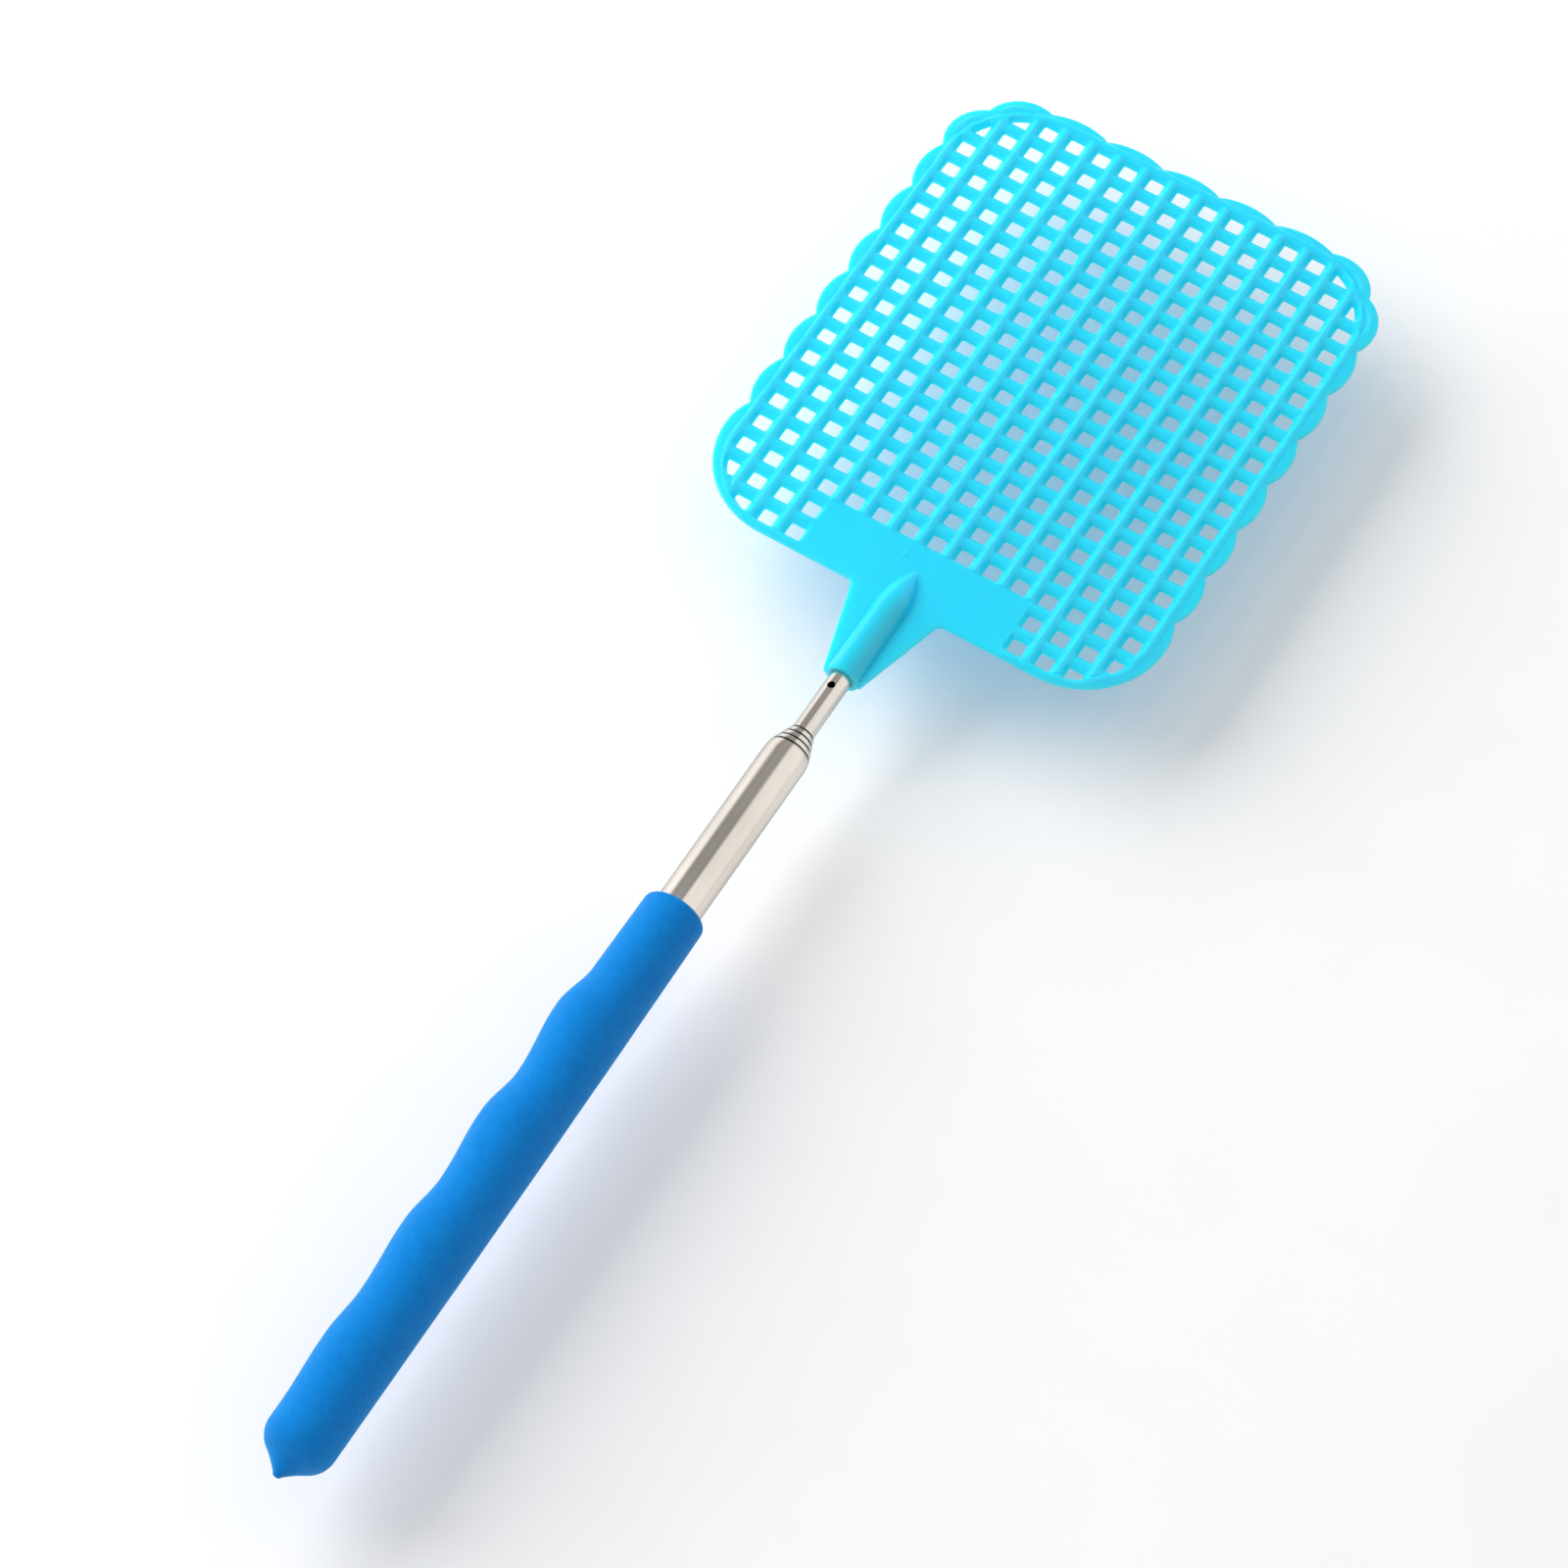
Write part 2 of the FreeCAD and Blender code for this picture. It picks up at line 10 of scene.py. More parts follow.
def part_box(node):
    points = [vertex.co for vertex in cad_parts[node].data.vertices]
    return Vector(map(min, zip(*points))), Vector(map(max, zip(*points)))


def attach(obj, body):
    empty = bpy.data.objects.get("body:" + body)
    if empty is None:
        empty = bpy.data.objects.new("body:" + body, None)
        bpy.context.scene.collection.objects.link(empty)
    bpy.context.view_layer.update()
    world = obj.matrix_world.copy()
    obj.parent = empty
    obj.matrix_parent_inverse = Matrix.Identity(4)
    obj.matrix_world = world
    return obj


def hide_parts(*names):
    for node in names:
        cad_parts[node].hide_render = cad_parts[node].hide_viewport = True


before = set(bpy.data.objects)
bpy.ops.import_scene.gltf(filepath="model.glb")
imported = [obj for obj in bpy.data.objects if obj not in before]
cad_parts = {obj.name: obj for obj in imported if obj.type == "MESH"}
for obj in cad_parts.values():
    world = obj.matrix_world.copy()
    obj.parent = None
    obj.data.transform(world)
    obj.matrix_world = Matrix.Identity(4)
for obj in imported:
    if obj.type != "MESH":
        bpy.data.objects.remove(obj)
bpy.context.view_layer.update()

# The looks of a telescopic fly swatter.  Shapes are worked out in millimetres in the CAD frame: the shaft
# runs along +Y from the grip's butt at the origin, X runs across the head, +Z points out of its front.
MM = 0.001
SAME_PLACE = 0.002 * MM
NO_LENGTH = 0.001 * MM
SMOOTH_ANGLE = math.radians(32)
METAL_ANGLE = math.radians(28)
RUBBER_ANGLE = math.radians(40)


# -------- sizes taken from the frame

def box_mm(node):
    low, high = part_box(node)
    return low / MM, high / MM


HEAD_LOW, HEAD_HIGH = box_mm("swatter_head")
PITCH = HEAD_HIGH.x / 8  # the head is 16 pitches wide
NECK_Y = HEAD_LOW.y  # the socket's open end
HEAD_BACK = 0.72  # depth of the flat back behind the shaft's axis
SOCKET_RADIUS = HEAD_HIGH.z

ROD_LOW, ROD_HIGH = box_mm("tip_rod")
ROD_RADIUS = 2.0
STOP_RISE = ROD_HIGH.z - ROD_RADIUS  # the stop bead is the rod's widest place

# ---- the mesh's lattice, in pitches about the row that the rows are counted from ----
COLUMN_REACH = 7  # columns each side of the middle one
ROWS_DOWN = 8
ROWS_UP = 10
TOP_RISE = 0.22 * PITCH  # height of a scallop over its chord
SIDE_RISE = 0.28 * PITCH
TOP_VALLEY_Y = HEAD_HIGH.y - TOP_RISE
GRID_Y = TOP_VALLEY_Y - 10.72 * PITCH
OPENING_HALF = 0.255 * PITCH
OPENING_CORNER = 0.3
FLANK_RINGS = (0.0, 0.3, 0.5, 0.62, 0.74, 0.9, 1.12)  # distances out from an opening's edge
FLANK_START = -0.4  # height where an opening's wall turns into its flank
FLANK_SLOPE = 1.5
FLANK_BLEND = 0.22  # each blend is the height over which two surfaces run into each other
LONG_CREST = 0.95  # ribs along the shaft: height, slope of the sides, rounding of the crest
LONG_SLOPE = 1.0
LONG_ROUNDING = 0.4
CROSS_CREST = 0.6  # ribs across it
CROSS_SLOPE = 0.8
CROSS_ROUNDING = 0.6
RIB_BLEND = 0.2
RIB_END_SLOPE = 1.5  # fall of the ribs beyond the mesh's boundary
RIB_PANEL_SLOPE = 2.5  # and inside the panel

# ---- rim, panel and socket ----
FLANGE = 0.45
PANEL = 0.5
STEEP = 3.0  # slope of the walls where flange and panel end
FLANGE_REACH = 0.15  # how far the flange runs in past the mesh's boundary
PANEL_BLEND = 0.1
PLATE_BLEND = 0.15
BEAD_RISE = 0.45
BEAD_PLACE = 0.7  # out from the mesh's boundary
BEAD_SPREAD = 0.55
BEAD_SIDE_FADE = (-0.3, 0.9)  # where the bead ends beside the panel, and above it
BEAD_TOP_FADE = (-1.0, 1.0)
GROOVE_DEPTH = 0.1  # shallow groove outside the bead
GROOVE_PLACE = 1.35
LINE_SPREAD = 0.3
CREASE_RISE = 0.26  # raised line along the scallops, and the groove inside it
CREASE_PLACE = 1.65  # both in from the outer edge
HOLLOW_DEPTH = 0.2
HOLLOW_PLACE = 2.3
CREASE_ROOM = (3.1, 4.0)  # widths of the rim over which the raised line comes in
CREASE_FADE = 2.0  # and lengths above and below the lowest valley
FRONT_ROUND = 0.45  # radius of the outer edge
BACK_ROUND = 0.25
MESH_HALF_WIDTH = 7.35 * PITCH
MESH_TOP_Y = GRID_Y + 10.4 * PITCH
MESH_BOTTOM_Y = GRID_Y - 8.35 * PITCH
MESH_TOP_RADIUS = 2.8 * PITCH
MESH_BOTTOM_RADIUS = 2.45 * PITCH
PANEL_HALF_WIDTH = 3.6 * PITCH
PANEL_TOP_Y = GRID_Y - 6.37 * PITCH
BOTTOM_EDGE_Y = GRID_Y - 8.63 * PITCH
BOTTOM_CORNER_RADIUS = 3.0 * PITCH
FIRST_VALLEY_Y = GRID_Y - 4.6 * PITCH
SCALLOP_CHORD = 2.05 * PITCH
TOP_SCALLOP_CHORD = 2.1 * PITCH
SIDE_SCALLOPS = 6
TOP_SCALLOPS = 5
CORNER_VALLEY = Vector((7.12 * PITCH, GRID_Y + 9.74 * PITCH))
CORNER_RISE = 0.48 * PITCH
WEB_HALF_END = 0.65 * PITCH
WEB_HALF_ROOT = 1.57 * PITCH
NOSE_START_Y = GRID_Y - 9.0 * PITCH
NOSE_END_Y = GRID_Y - 7.25 * PITCH
GATE = (-0.63 * PITCH, GRID_Y - 6.92 * PITCH)  # stub left by the mould's gate
GATE_RADIUS = 0.6
GATE_RISE = 0.22
GATE_RIM = 0.55  # shares of its radius where its wall starts, and where the dent in it ends
GATE_DENT = 0.12
GATE_HOLLOW = 0.5
SOCKET_BLEND = 0.5
BACK_BLEND = 0.3
SOCKET_SIDE_FALL = 6.0  # slopes at which the socket's surface dives into the panel
NOSE_FALL = 2.0

# ---- corners and straight stretches of the head's outline ----
SIDE_INSET = 0.03 * PITCH  # the straight edge above the bottom corner is this far in
FIRST_SIDE_RISE = 0.07 * PITCH
WEB_END_CORNER = 0.5
WEB_ROOT_CORNER = 1.4
WEB_ROOT_REACH = 2.2  # the root's corner takes this much of the bottom edge
CORNER_STEPS = 5
BOTTOM_CORNER_STEPS = 24
WEB_STEPS = 14
BOTTOM_STEPS = 16
SCALLOP_STEPS = 16
VALLEY_STEPS = 4

# ---- places where the head's surface is sampled, so that its small shapes come out clean ----
EDGE_SHARES = (0.0, 0.1, 0.35, 1.0)  # rings round the outer edge's rounding, as shares of its radius
SOCKET_ANGLES = (0, 14, 28, 41, 53, 63, 72, 79, 84, 88)
BESIDE_SOCKET = (0.03, 0.1, 0.2, 0.32)
SOCKET_STEP = 0.9
NOSE_GAPS = (0.8, 0.5, 0.25, 0.1)
CREST_STEPS = (-2.25, -1.5, -1.0, -0.6, -0.3, 0.0, 0.3, 0.6, 1.0, 1.5, 2.25)
CROSSING_CORNER = 0.26
BEAD_GAPS = (-0.25, 0.0, 0.2, 0.35, 0.5, 0.65, 0.8, 1.0, 1.25, 1.5)
CREASE_GAPS = (0.7, 1.0, 1.25, 1.4, 1.55, 1.7, 1.85, 2.0, 2.15, 2.3, 2.45, 2.65)
REGION_STEP = 0.8
REGION_CORNER_STEPS = 24
PANEL_STEP = 1.5
PANEL_COLUMNS = 14
PANEL_CLEAR = 0.7  # room left between the panel's points and the socket
GATE_SHARES = (0.2, 0.4, 0.52, 0.64, 0.8, 0.95, 1.1)
GATE_STEPS = 16
PANEL_EDGE_GAPS = (-0.1, 0.08, 0.2, 0.35, 0.55)
PANEL_EDGE_STEPS = 36
FLANK_CLEAR = 0.05
EDGE_CLEAR = 0.1


# -------- helpers

def smooth_step(low, high, value):
    share = np.clip((value - low) / (high - low), 0.0, 1.0)
    return share * share * (3 - 2 * share)


def soft_max(a, b, width):
    near = np.maximum(width - np.abs(a - b), 0.0) / width
    return np.maximum(a, b) + near * near * width / 4


def soft_min(a, b, width):
    return -soft_max(-a, -b, width)


def ridge(gap, spread):
    """A smooth ridge of height 1 about a line, at a distance of gap from it."""
    return np.exp(-(gap / spread) ** 2)


def mesh_from(name, points, faces):
    """A mesh from points in millimetres, with doubled points merged and normals pointing out."""
    mesh = bpy.data.meshes.new(name)
    mesh.from_pydata([tuple(point) for point in np.asarray(points) * MM], [], faces)
    work = bmesh.new()
    work.from_mesh(mesh)
    bmesh.ops.remove_doubles(work, verts=work.verts, dist=SAME_PLACE)
    bmesh.ops.dissolve_degenerate(work, dist=NO_LENGTH, edges=work.edges)
    bmesh.ops.delete(work, geom=[vert for vert in work.verts if not vert.link_faces], context="VERTS")
    bmesh.ops.recalc_face_normals(work, faces=work.faces)
    work.to_mesh(mesh)
    work.free()
    return mesh


def add_object(name, mesh):
    piece = bpy.data.objects.new(name, mesh)
    bpy.context.scene.collection.objects.link(piece)
    return piece


def shade(mesh, angle=SMOOTH_ANGLE):
    mesh.shade_smooth()
    mesh.set_sharp_from_angle(angle=angle)


def cut(piece, cutter):
    """Cuts cutter out of piece and removes it."""
    change = piece.modifiers.new("cut", "BOOLEAN")
    change.object = cutter
    change.operation = "DIFFERENCE"
    change.solver = "MANIFOLD"
    graph = bpy.context.evaluated_depsgraph_get()
    result = bpy.data.meshes.new_from_object(piece.evaluated_get(graph))
    piece.modifiers.clear()
    piece.data = result
    bpy.data.objects.remove(cutter)


def stand_in(piece, node, body, material):
    """Makes piece the visible form of a CAD node."""
    piece.data.materials.clear()
    piece.data.materials.append(material)
    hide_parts(node)
    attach(piece, body)


def lathe(profile, segments, shift=None):
    """Points and faces of a profile of (radius, y) pairs turned about the shaft's axis.

    The profile closes on itself unless its ends lie on the axis.  shift(radius, y) gives how far a ring
    moves across and how much it widens."""
    on_axis = 1e-6
    points = []
    rings = []
    for radius, y in profile:
        if radius < on_axis:
            rings.append([len(points)] * segments)
            points.append((0.0, y, 0.0))
            continue
        start = len(points)
        centre_x, wider = shift(radius, y) if shift else (0.0, 0.0)
        for step in range(segments):
            angle = 2 * math.pi * step / segments
            reach = radius + wider
            points.append((centre_x + reach * math.sin(angle), y, reach * math.cos(angle)))
        rings.append(list(range(start, start + segments)))
    faces = []
    closed = profile[0][0] > on_axis
    pairs = zip(rings, rings[1:] + rings[:1]) if closed else zip(rings, rings[1:])
    for low, high in pairs:
        for step in range(segments):
            after = (step + 1) % segments
            corners = [low[step], low[after], high[after], high[step]]
            face = list(dict.fromkeys(corners))
            if len(face) > 2:
                faces.append(face)
    return points, faces


def cylinder_between(name, start, end, radius, segments=48):
    """A closed cylinder between two points in millimetres."""
    start = Vector(start)
    axis = Vector(end) - start
    points, faces = lathe([(0, 0), (radius, 0), (radius, axis.length), (0, axis.length)], segments)
    turn = Vector((0, 1, 0)).rotation_difference(axis).to_matrix()
    placed = [turn @ Vector(point) + start for point in points]
    return add_object(name, mesh_from(name, placed, faces))


# -------- the head's outline

def unit(angle):
    return Vector((math.cos(angle), math.sin(angle)))


def corner_samples(point, normal_in, normal_out, radius, convex, steps):
    """A rounded corner between two straight edges, as (point, outward normal) pairs."""
    offset = (normal_in + normal_out) / (1 + normal_in.dot(normal_out)) * radius
    centre = point - offset if convex else point + offset
    side = 1 if convex else -1
    first = math.atan2(normal_in.y, normal_in.x)
    last = math.atan2(normal_out.y, normal_out.x)
    samples = []
    for step in range(steps + 1):
        normal = unit(first + (last - first) * step / steps)
        samples.append((centre + normal * radius * side, normal))
    return samples


def scallop_samples(start, end, rise, steps):
    """An arc that bulges to the right of the way it runs, as (point, outward normal) pairs."""
    along = end - start
    outward = Vector((along.y, -along.x)).normalized()
    radius = (along.length_squared / 4 + rise ** 2) / (2 * rise)
    centre = (start + end) / 2 - outward * (radius - rise)
    half_turn = math.asin(along.length / 2 / radius)
    facing = math.atan2(outward.y, outward.x)
    samples = []
    for step in range(steps + 1):
        normal = unit(facing - half_turn + 2 * half_turn * step / steps)
        samples.append((centre + normal * radius, normal))
    return samples


def arc_profile(start, rise, end, steps):
    """Points after start on an arc to end that bulges by rise to the left of the way it runs."""
    if rise > 0:
        samples = scallop_samples(Vector(end), Vector(start), rise, steps)[::-1]
    else:
        samples = scallop_samples(Vector(start), Vector(end), -rise, steps)
    return [tuple(point) for point, _ in samples[1:]]


def socket_offsets(radius):
    """Places across the socket where its surface is sampled, closest together where it is steepest."""
    inside = [radius * math.sin(math.radians(angle)) for angle in SOCKET_ANGLES]
    outside = [radius + gap for gap in BESIDE_SOCKET]
    return inside + outside


def right_side_samples():
    """The outline from the middle of the socket's end round the right-hand side to the top edge's middle."""
    down = Vector((0, -1))
    end_corner = Vector((WEB_HALF_END, NECK_Y))
    root = Vector((WEB_HALF_ROOT, BOTTOM_EDGE_Y))
    web = (root - end_corner).normalized()
    web_normal = Vector((web.y, -web.x))
    flat_end = WEB_HALF_END - 0.9 * WEB_END_CORNER
    samples = [(Vector((x, NECK_Y)), down) for x in socket_offsets(SOCKET_RADIUS) if x < flat_end]
    samples += corner_samples(end_corner, down, web_normal, WEB_END_CORNER, True, CORNER_STEPS)
    first_share, last_share = 0.04, 0.92
    for step in range(1, WEB_STEPS):
        share = first_share + (last_share - first_share) * step / WEB_STEPS
        samples.append((end_corner.lerp(root, share), web_normal))
    samples += corner_samples(root, web_normal, down, WEB_ROOT_CORNER, False, CORNER_STEPS)
    side_x = HEAD_HIGH.x - SIDE_INSET
    corner_x = side_x - BOTTOM_CORNER_RADIUS
    first_x = WEB_HALF_ROOT + WEB_ROOT_REACH
    for step in range(BOTTOM_STEPS):
        samples.append((Vector((first_x + (corner_x - first_x) * step / BOTTOM_STEPS, BOTTOM_EDGE_Y)), down))
    corner = Vector((side_x, BOTTOM_EDGE_Y))
    right = Vector((1, 0))
    samples += corner_samples(corner, down, right, BOTTOM_CORNER_RADIUS, True, BOTTOM_CORNER_STEPS)
    valley_x = HEAD_HIGH.x - SIDE_RISE
    ends = [Vector((side_x, BOTTOM_EDGE_Y + BOTTOM_CORNER_RADIUS))]
    ends += [Vector((valley_x, FIRST_VALLEY_Y + index * SCALLOP_CHORD)) for index in range(SIDE_SCALLOPS + 1)]
    ends.append(CORNER_VALLEY)
    for index in range(TOP_SCALLOPS // 2 + 1):
        ends.append(Vector(((TOP_SCALLOPS / 2 - index) * TOP_SCALLOP_CHORD, TOP_VALLEY_Y)))
    rises = [FIRST_SIDE_RISE] + [SIDE_RISE] * SIDE_SCALLOPS + [CORNER_RISE] * 2
    rises += [TOP_RISE] * (TOP_SCALLOPS // 2)
    previous = None
    for start, end, rise in zip(ends, ends[1:], rises):
        samples += valley_fan(previous, start, end, rise)
        arc = scallop_samples(start, end, rise, SCALLOP_STEPS)
        samples += arc
        previous = arc[-1]
    middle_end = Vector((-ends[-1].x, TOP_VALLEY_Y))
    samples += valley_fan(previous, ends[-1], middle_end, TOP_RISE)
    samples += scallop_samples(ends[-1], middle_end, TOP_RISE, SCALLOP_STEPS)[:SCALLOP_STEPS // 2 + 1]
    return samples


def valley_fan(previous, valley, end, rise):
    """Extra normals at a valley, so that lines offset inwards turn round it in an arc."""
    if previous is None:
        return []
    following = scallop_samples(valley, end, rise, 2)[0][1]
    samples = []
    for step in range(1, VALLEY_STEPS):
        normal = previous[1].lerp(following, step / VALLEY_STEPS).normalized()
        samples.append((valley, normal))
    return samples


def outline_samples():
    right = right_side_samples()
    left = [(Vector((-point.x, point.y)), Vector((-normal.x, normal.y))) for point, normal in right]
    samples = right + left[::-1][1:-1]
    kept = [samples[0]]
    alike = 0.02
    for sample in samples[1:]:
        same_place = (sample[0] - kept[-1][0]).length < alike
        same_way = (sample[1] - kept[-1][1]).length < alike
        if not (same_place and same_way):
            kept.append(sample)
    return kept


# -------- the head's openings

def region_distance(x, y):
    """Distance out from the mesh's rounded boundary; negative inside it."""
    upper = y > GRID_Y
    radius = np.where(upper, MESH_TOP_RADIUS, MESH_BOTTOM_RADIUS)
    past_x = np.abs(x) - MESH_HALF_WIDTH + radius
    past_y = np.where(upper, y - MESH_TOP_Y, MESH_BOTTOM_Y - y) + radius
    outside = np.hypot(np.maximum(past_x, 0), np.maximum(past_y, 0))
    inside = np.minimum(np.maximum(past_x, past_y), 0)
    return outside + inside - radius


def region_gap(x, y):
    return float(region_distance(x, y))


def region_normal(x, y):
    """The way straight out of the mesh's boundary at a point beside it."""
    step = 1e-3
    across = region_gap(x + step, y) - region_gap(x - step, y)
    upwards = region_gap(x, y + step) - region_gap(x, y - step)
    return Vector((across, upwards)).normalized()


def is_opening(column, row):
    """Whether an opening belongs there: its corner nearest the head's middle is inside the mesh."""
    y = GRID_Y + row * PITCH
    in_panel = abs(column) * PITCH < PANEL_HALF_WIDTH and y < PANEL_TOP_Y
    nearest_x = max(0.0, abs(column) * PITCH - OPENING_HALF)
    nearest_y = y - OPENING_HALF if row > 0 else y + OPENING_HALF
    return bool(region_distance(nearest_x, nearest_y) < 0) and not in_panel


def opening_cells():
    cells = []
    for row in range(-ROWS_DOWN, ROWS_UP + 1):
        for column in range(-COLUMN_REACH, COLUMN_REACH + 1):
            if is_opening(column, row):
                cells.append((column, row))
    return cells


def clip_to_region(polygon):
    """The part of a convex polygon inside the mesh's boundary, with points put in where it crosses."""
    halvings = 30
    kept = []
    for index, point in enumerate(polygon):
        following = polygon[(index + 1) % len(polygon)]
        here = region_gap(point.x, point.y)
        there = region_gap(following.x, following.y)
        if here <= 0:
            kept.append(point)
        if (here < 0) != (there < 0):
            low, high = (point, following) if here < there else (following, point)
            for _ in range(halvings):
                middle = (low + high) / 2
                if region_gap(middle.x, middle.y) < 0:
                    low = middle
                else:
                    high = middle
            kept.append(low)
    return kept


def bend_to_region(polygon):
    """Points along the boundary's arc where a clipped polygon follows it."""
    touching = 1e-4
    long_side = 1.0
    bent = []
    for index, point in enumerate(polygon):
        bent.append(point)
        following = polygon[(index + 1) % len(polygon)]
        on_arc = all(abs(region_gap(end.x, end.y)) < touching for end in (point, following))
        if on_arc and (following - point).length > long_side:
            middle = (point + following) / 2
            bent.append(middle - region_normal(middle.x, middle.y) * region_gap(middle.x, middle.y))
    return bent


def convex_samples(polygon, radius):
    """A convex polygon with rounded corners, as (point, outward normal) pairs; long sides get two more."""
    step_angle = math.radians(30)
    long_side = 2.0
    from_middle = 0.45
    samples = []
    count = len(polygon)
    for index, point in enumerate(polygon):
        before = polygon[index - 1]
        after = polygon[(index + 1) % count]
        way_in = (point - before).normalized()
        way_out = (after - point).normalized()
        normal_in = Vector((way_in.y, -way_in.x))
        normal_out = Vector((way_out.y, -way_out.x))
        turn = normal_in.angle_signed(normal_out)
        steps = max(1, round(abs(turn) / step_angle))
        first = math.atan2(normal_in.y, normal_in.x)
        offset = (normal_in + normal_out) / (1 + normal_in.dot(normal_out)) * radius
        centre = point - offset
        for step in range(steps + 1):
            normal = unit(first + abs(turn) * step / steps)
            samples.append((centre + normal * radius, normal))
        length = (after - point).length
        if length > long_side:
            for share in (0.5 - from_middle / length, 0.5 + from_middle / length):
                samples.append((point.lerp(after, share), normal_out))
    return samples


def opening_samples(column, row):
    centre = Vector((column * PITCH, GRID_Y + row * PITCH))
    corners = ((-1, -1), (1, -1), (1, 1), (-1, 1))
    square = [centre + Vector(corner) * OPENING_HALF for corner in corners]
    if all(region_gap(corner.x, corner.y) < 0 for corner in square):
        return convex_samples(square, OPENING_CORNER)
    clipped = bend_to_region(clip_to_region(square))
    shortest = min((clipped[index] - clipped[index - 1]).length for index in range(len(clipped)))
    corner_share = 0.3
    return convex_samples(clipped, min(OPENING_CORNER, corner_share * shortest))


# -------- the head's surface

def socket_radius_at(y):
    """The socket's radius: straight, then a pointed nose that dies into the panel."""
    nose = NOSE_END_Y - NOSE_START_Y
    swing = (nose ** 2 + SOCKET_RADIUS ** 2) / (2 * SOCKET_RADIUS)
    past = np.clip(y - NOSE_START_Y, 0, nose)
    return SOCKET_RADIUS - swing + np.sqrt(swing ** 2 - past ** 2)


def socket_height(x, y):
    radius = socket_radius_at(y)
    over = radius ** 2 - x ** 2
    bulge = np.sqrt(np.maximum(over, 0.0))
    beyond = SOCKET_SIDE_FALL * (np.abs(x) - radius)
    past_nose = NOSE_FALL * np.maximum(y - NOSE_END_Y, 0.0)
    return np.where(over > 0, bulge, -beyond) - past_nose


def rib_fall(place, slope, rounding):
    """How far below its crest a rib is, at a place across the ribs counted in pitches."""
    away = np.abs(place - np.floor(place) - 0.5) * PITCH
    return slope * away ** 2 / (rounding + away)


def cell_distance(x, y, openings):
    """Distance from the nearest opening's edge, for points between openings."""
    column = np.round(x / PITCH)
    row = np.round((y - GRID_Y) / PITCH)
    in_x = np.abs(x - column * PITCH) - OPENING_HALF + OPENING_CORNER
    in_y = np.abs(y - GRID_Y - row * PITCH) - OPENING_HALF + OPENING_CORNER
    square = np.hypot(np.maximum(in_x, 0), np.maximum(in_y, 0)) - OPENING_CORNER
    distance = np.maximum(square, region_distance(x, y))
    open_cell = np.array([(int(c), int(r)) in openings for c, r in zip(column, row)])
    far = 3.0
    return np.where(open_cell, distance, far)


def edge_distance(x, y, outline):
    """Distance from the head's outer edge, taken to the straight pieces between the outline's points."""
    start = np.array([point[:] for point, _ in outline])
    way = np.roll(start, -1, axis=0) - start
    length = np.maximum((way ** 2).sum(axis=1), 1e-12)
    result = np.empty(len(x))
    batch = 2000
    for index in range(0, len(x), batch):
        part = slice(index, index + batch)
        from_x = x[part, None] - start[None, :, 0]
        from_y = y[part, None] - start[None, :, 1]
        share = np.clip((from_x * way[:, 0] + from_y * way[:, 1]) / length, 0, 1)
        gap = np.hypot(from_x - share * way[:, 0], from_y - share * way[:, 1])
        result[part] = gap.min(axis=1)
    return result


def inside_outline(x, y, outline):
    """Whether points lie within the outline, by counting the edges to their right."""
    start = np.array([point[:] for point, _ in outline])
    end = np.roll(start, -1, axis=0)
    inside = np.zeros(len(x), bool)
    for (x0, y0), (x1, y1) in zip(start, end):
        spans = (y0 > y) != (y1 > y)
        if y1 != y0:
            inside ^= spans & (x < x0 + (y - y0) * (x1 - x0) / (y1 - y0))
    return inside


def front_height(x, y, flank, edge):
    """Height of the head's front over the shaft's axis.

    flank is the distance out from the nearest opening and edge the distance in from the outer edge."""
    out = region_distance(x, y)
    beyond = np.maximum(out, 0.0)
    in_panel = np.minimum(PANEL_HALF_WIDTH - np.abs(x), PANEL_TOP_Y - y)
    hidden = RIB_END_SLOPE * beyond + RIB_PANEL_SLOPE * np.maximum(in_panel, 0.0)
    long_rib = LONG_CREST - rib_fall(x / PITCH, LONG_SLOPE, LONG_ROUNDING) - hidden
    cross_rib = CROSS_CREST - rib_fall((y - GRID_Y) / PITCH, CROSS_SLOPE, CROSS_ROUNDING) - hidden
    ribs = soft_max(long_rib, cross_rib, RIB_BLEND)
    beside_panel = smooth_step(*(PANEL_HALF_WIDTH + end for end in BEAD_SIDE_FADE), np.abs(x))
    above_panel = smooth_step(*(PANEL_TOP_Y + end for end in BEAD_TOP_FADE), y)
    has_bead = np.maximum(beside_panel, above_panel)
    bead = BEAD_RISE * ridge(out - BEAD_PLACE, BEAD_SPREAD) * has_bead
    room = smooth_step(*CREASE_ROOM, beyond + edge)
    room *= smooth_step(FIRST_VALLEY_Y - CREASE_FADE, FIRST_VALLEY_Y + CREASE_FADE, y)
    crease = CREASE_RISE * ridge(edge - CREASE_PLACE, LINE_SPREAD)
    crease -= HOLLOW_DEPTH * ridge(edge - HOLLOW_PLACE, LINE_SPREAD)
    groove = GROOVE_DEPTH * ridge(out - GROOVE_PLACE, LINE_SPREAD) * has_bead
    rim = FLANGE + bead + room * crease - groove - STEEP * np.maximum(-out - FLANGE_REACH, 0.0)
    panel = PANEL - STEEP * np.maximum(-in_panel, 0.0)
    below = (np.abs(x) < PANEL_HALF_WIDTH) & (y < MESH_BOTTOM_Y)
    plate = soft_max(rim, np.where(below, PANEL, panel), PANEL_BLEND)
    height = soft_max(ribs, plate, PLATE_BLEND)
    height = soft_min(height, FLANK_START + FLANK_SLOPE * flank, FLANK_BLEND)
    gate = np.hypot(x - GATE[0], y - GATE[1]) / GATE_RADIUS
    height += GATE_RISE * (1 - smooth_step(GATE_RIM, 1, gate))
    height -= GATE_DENT * (1 - smooth_step(0, GATE_HOLLOW, gate))
    return soft_max(height, socket_height(x, y), SOCKET_BLEND)


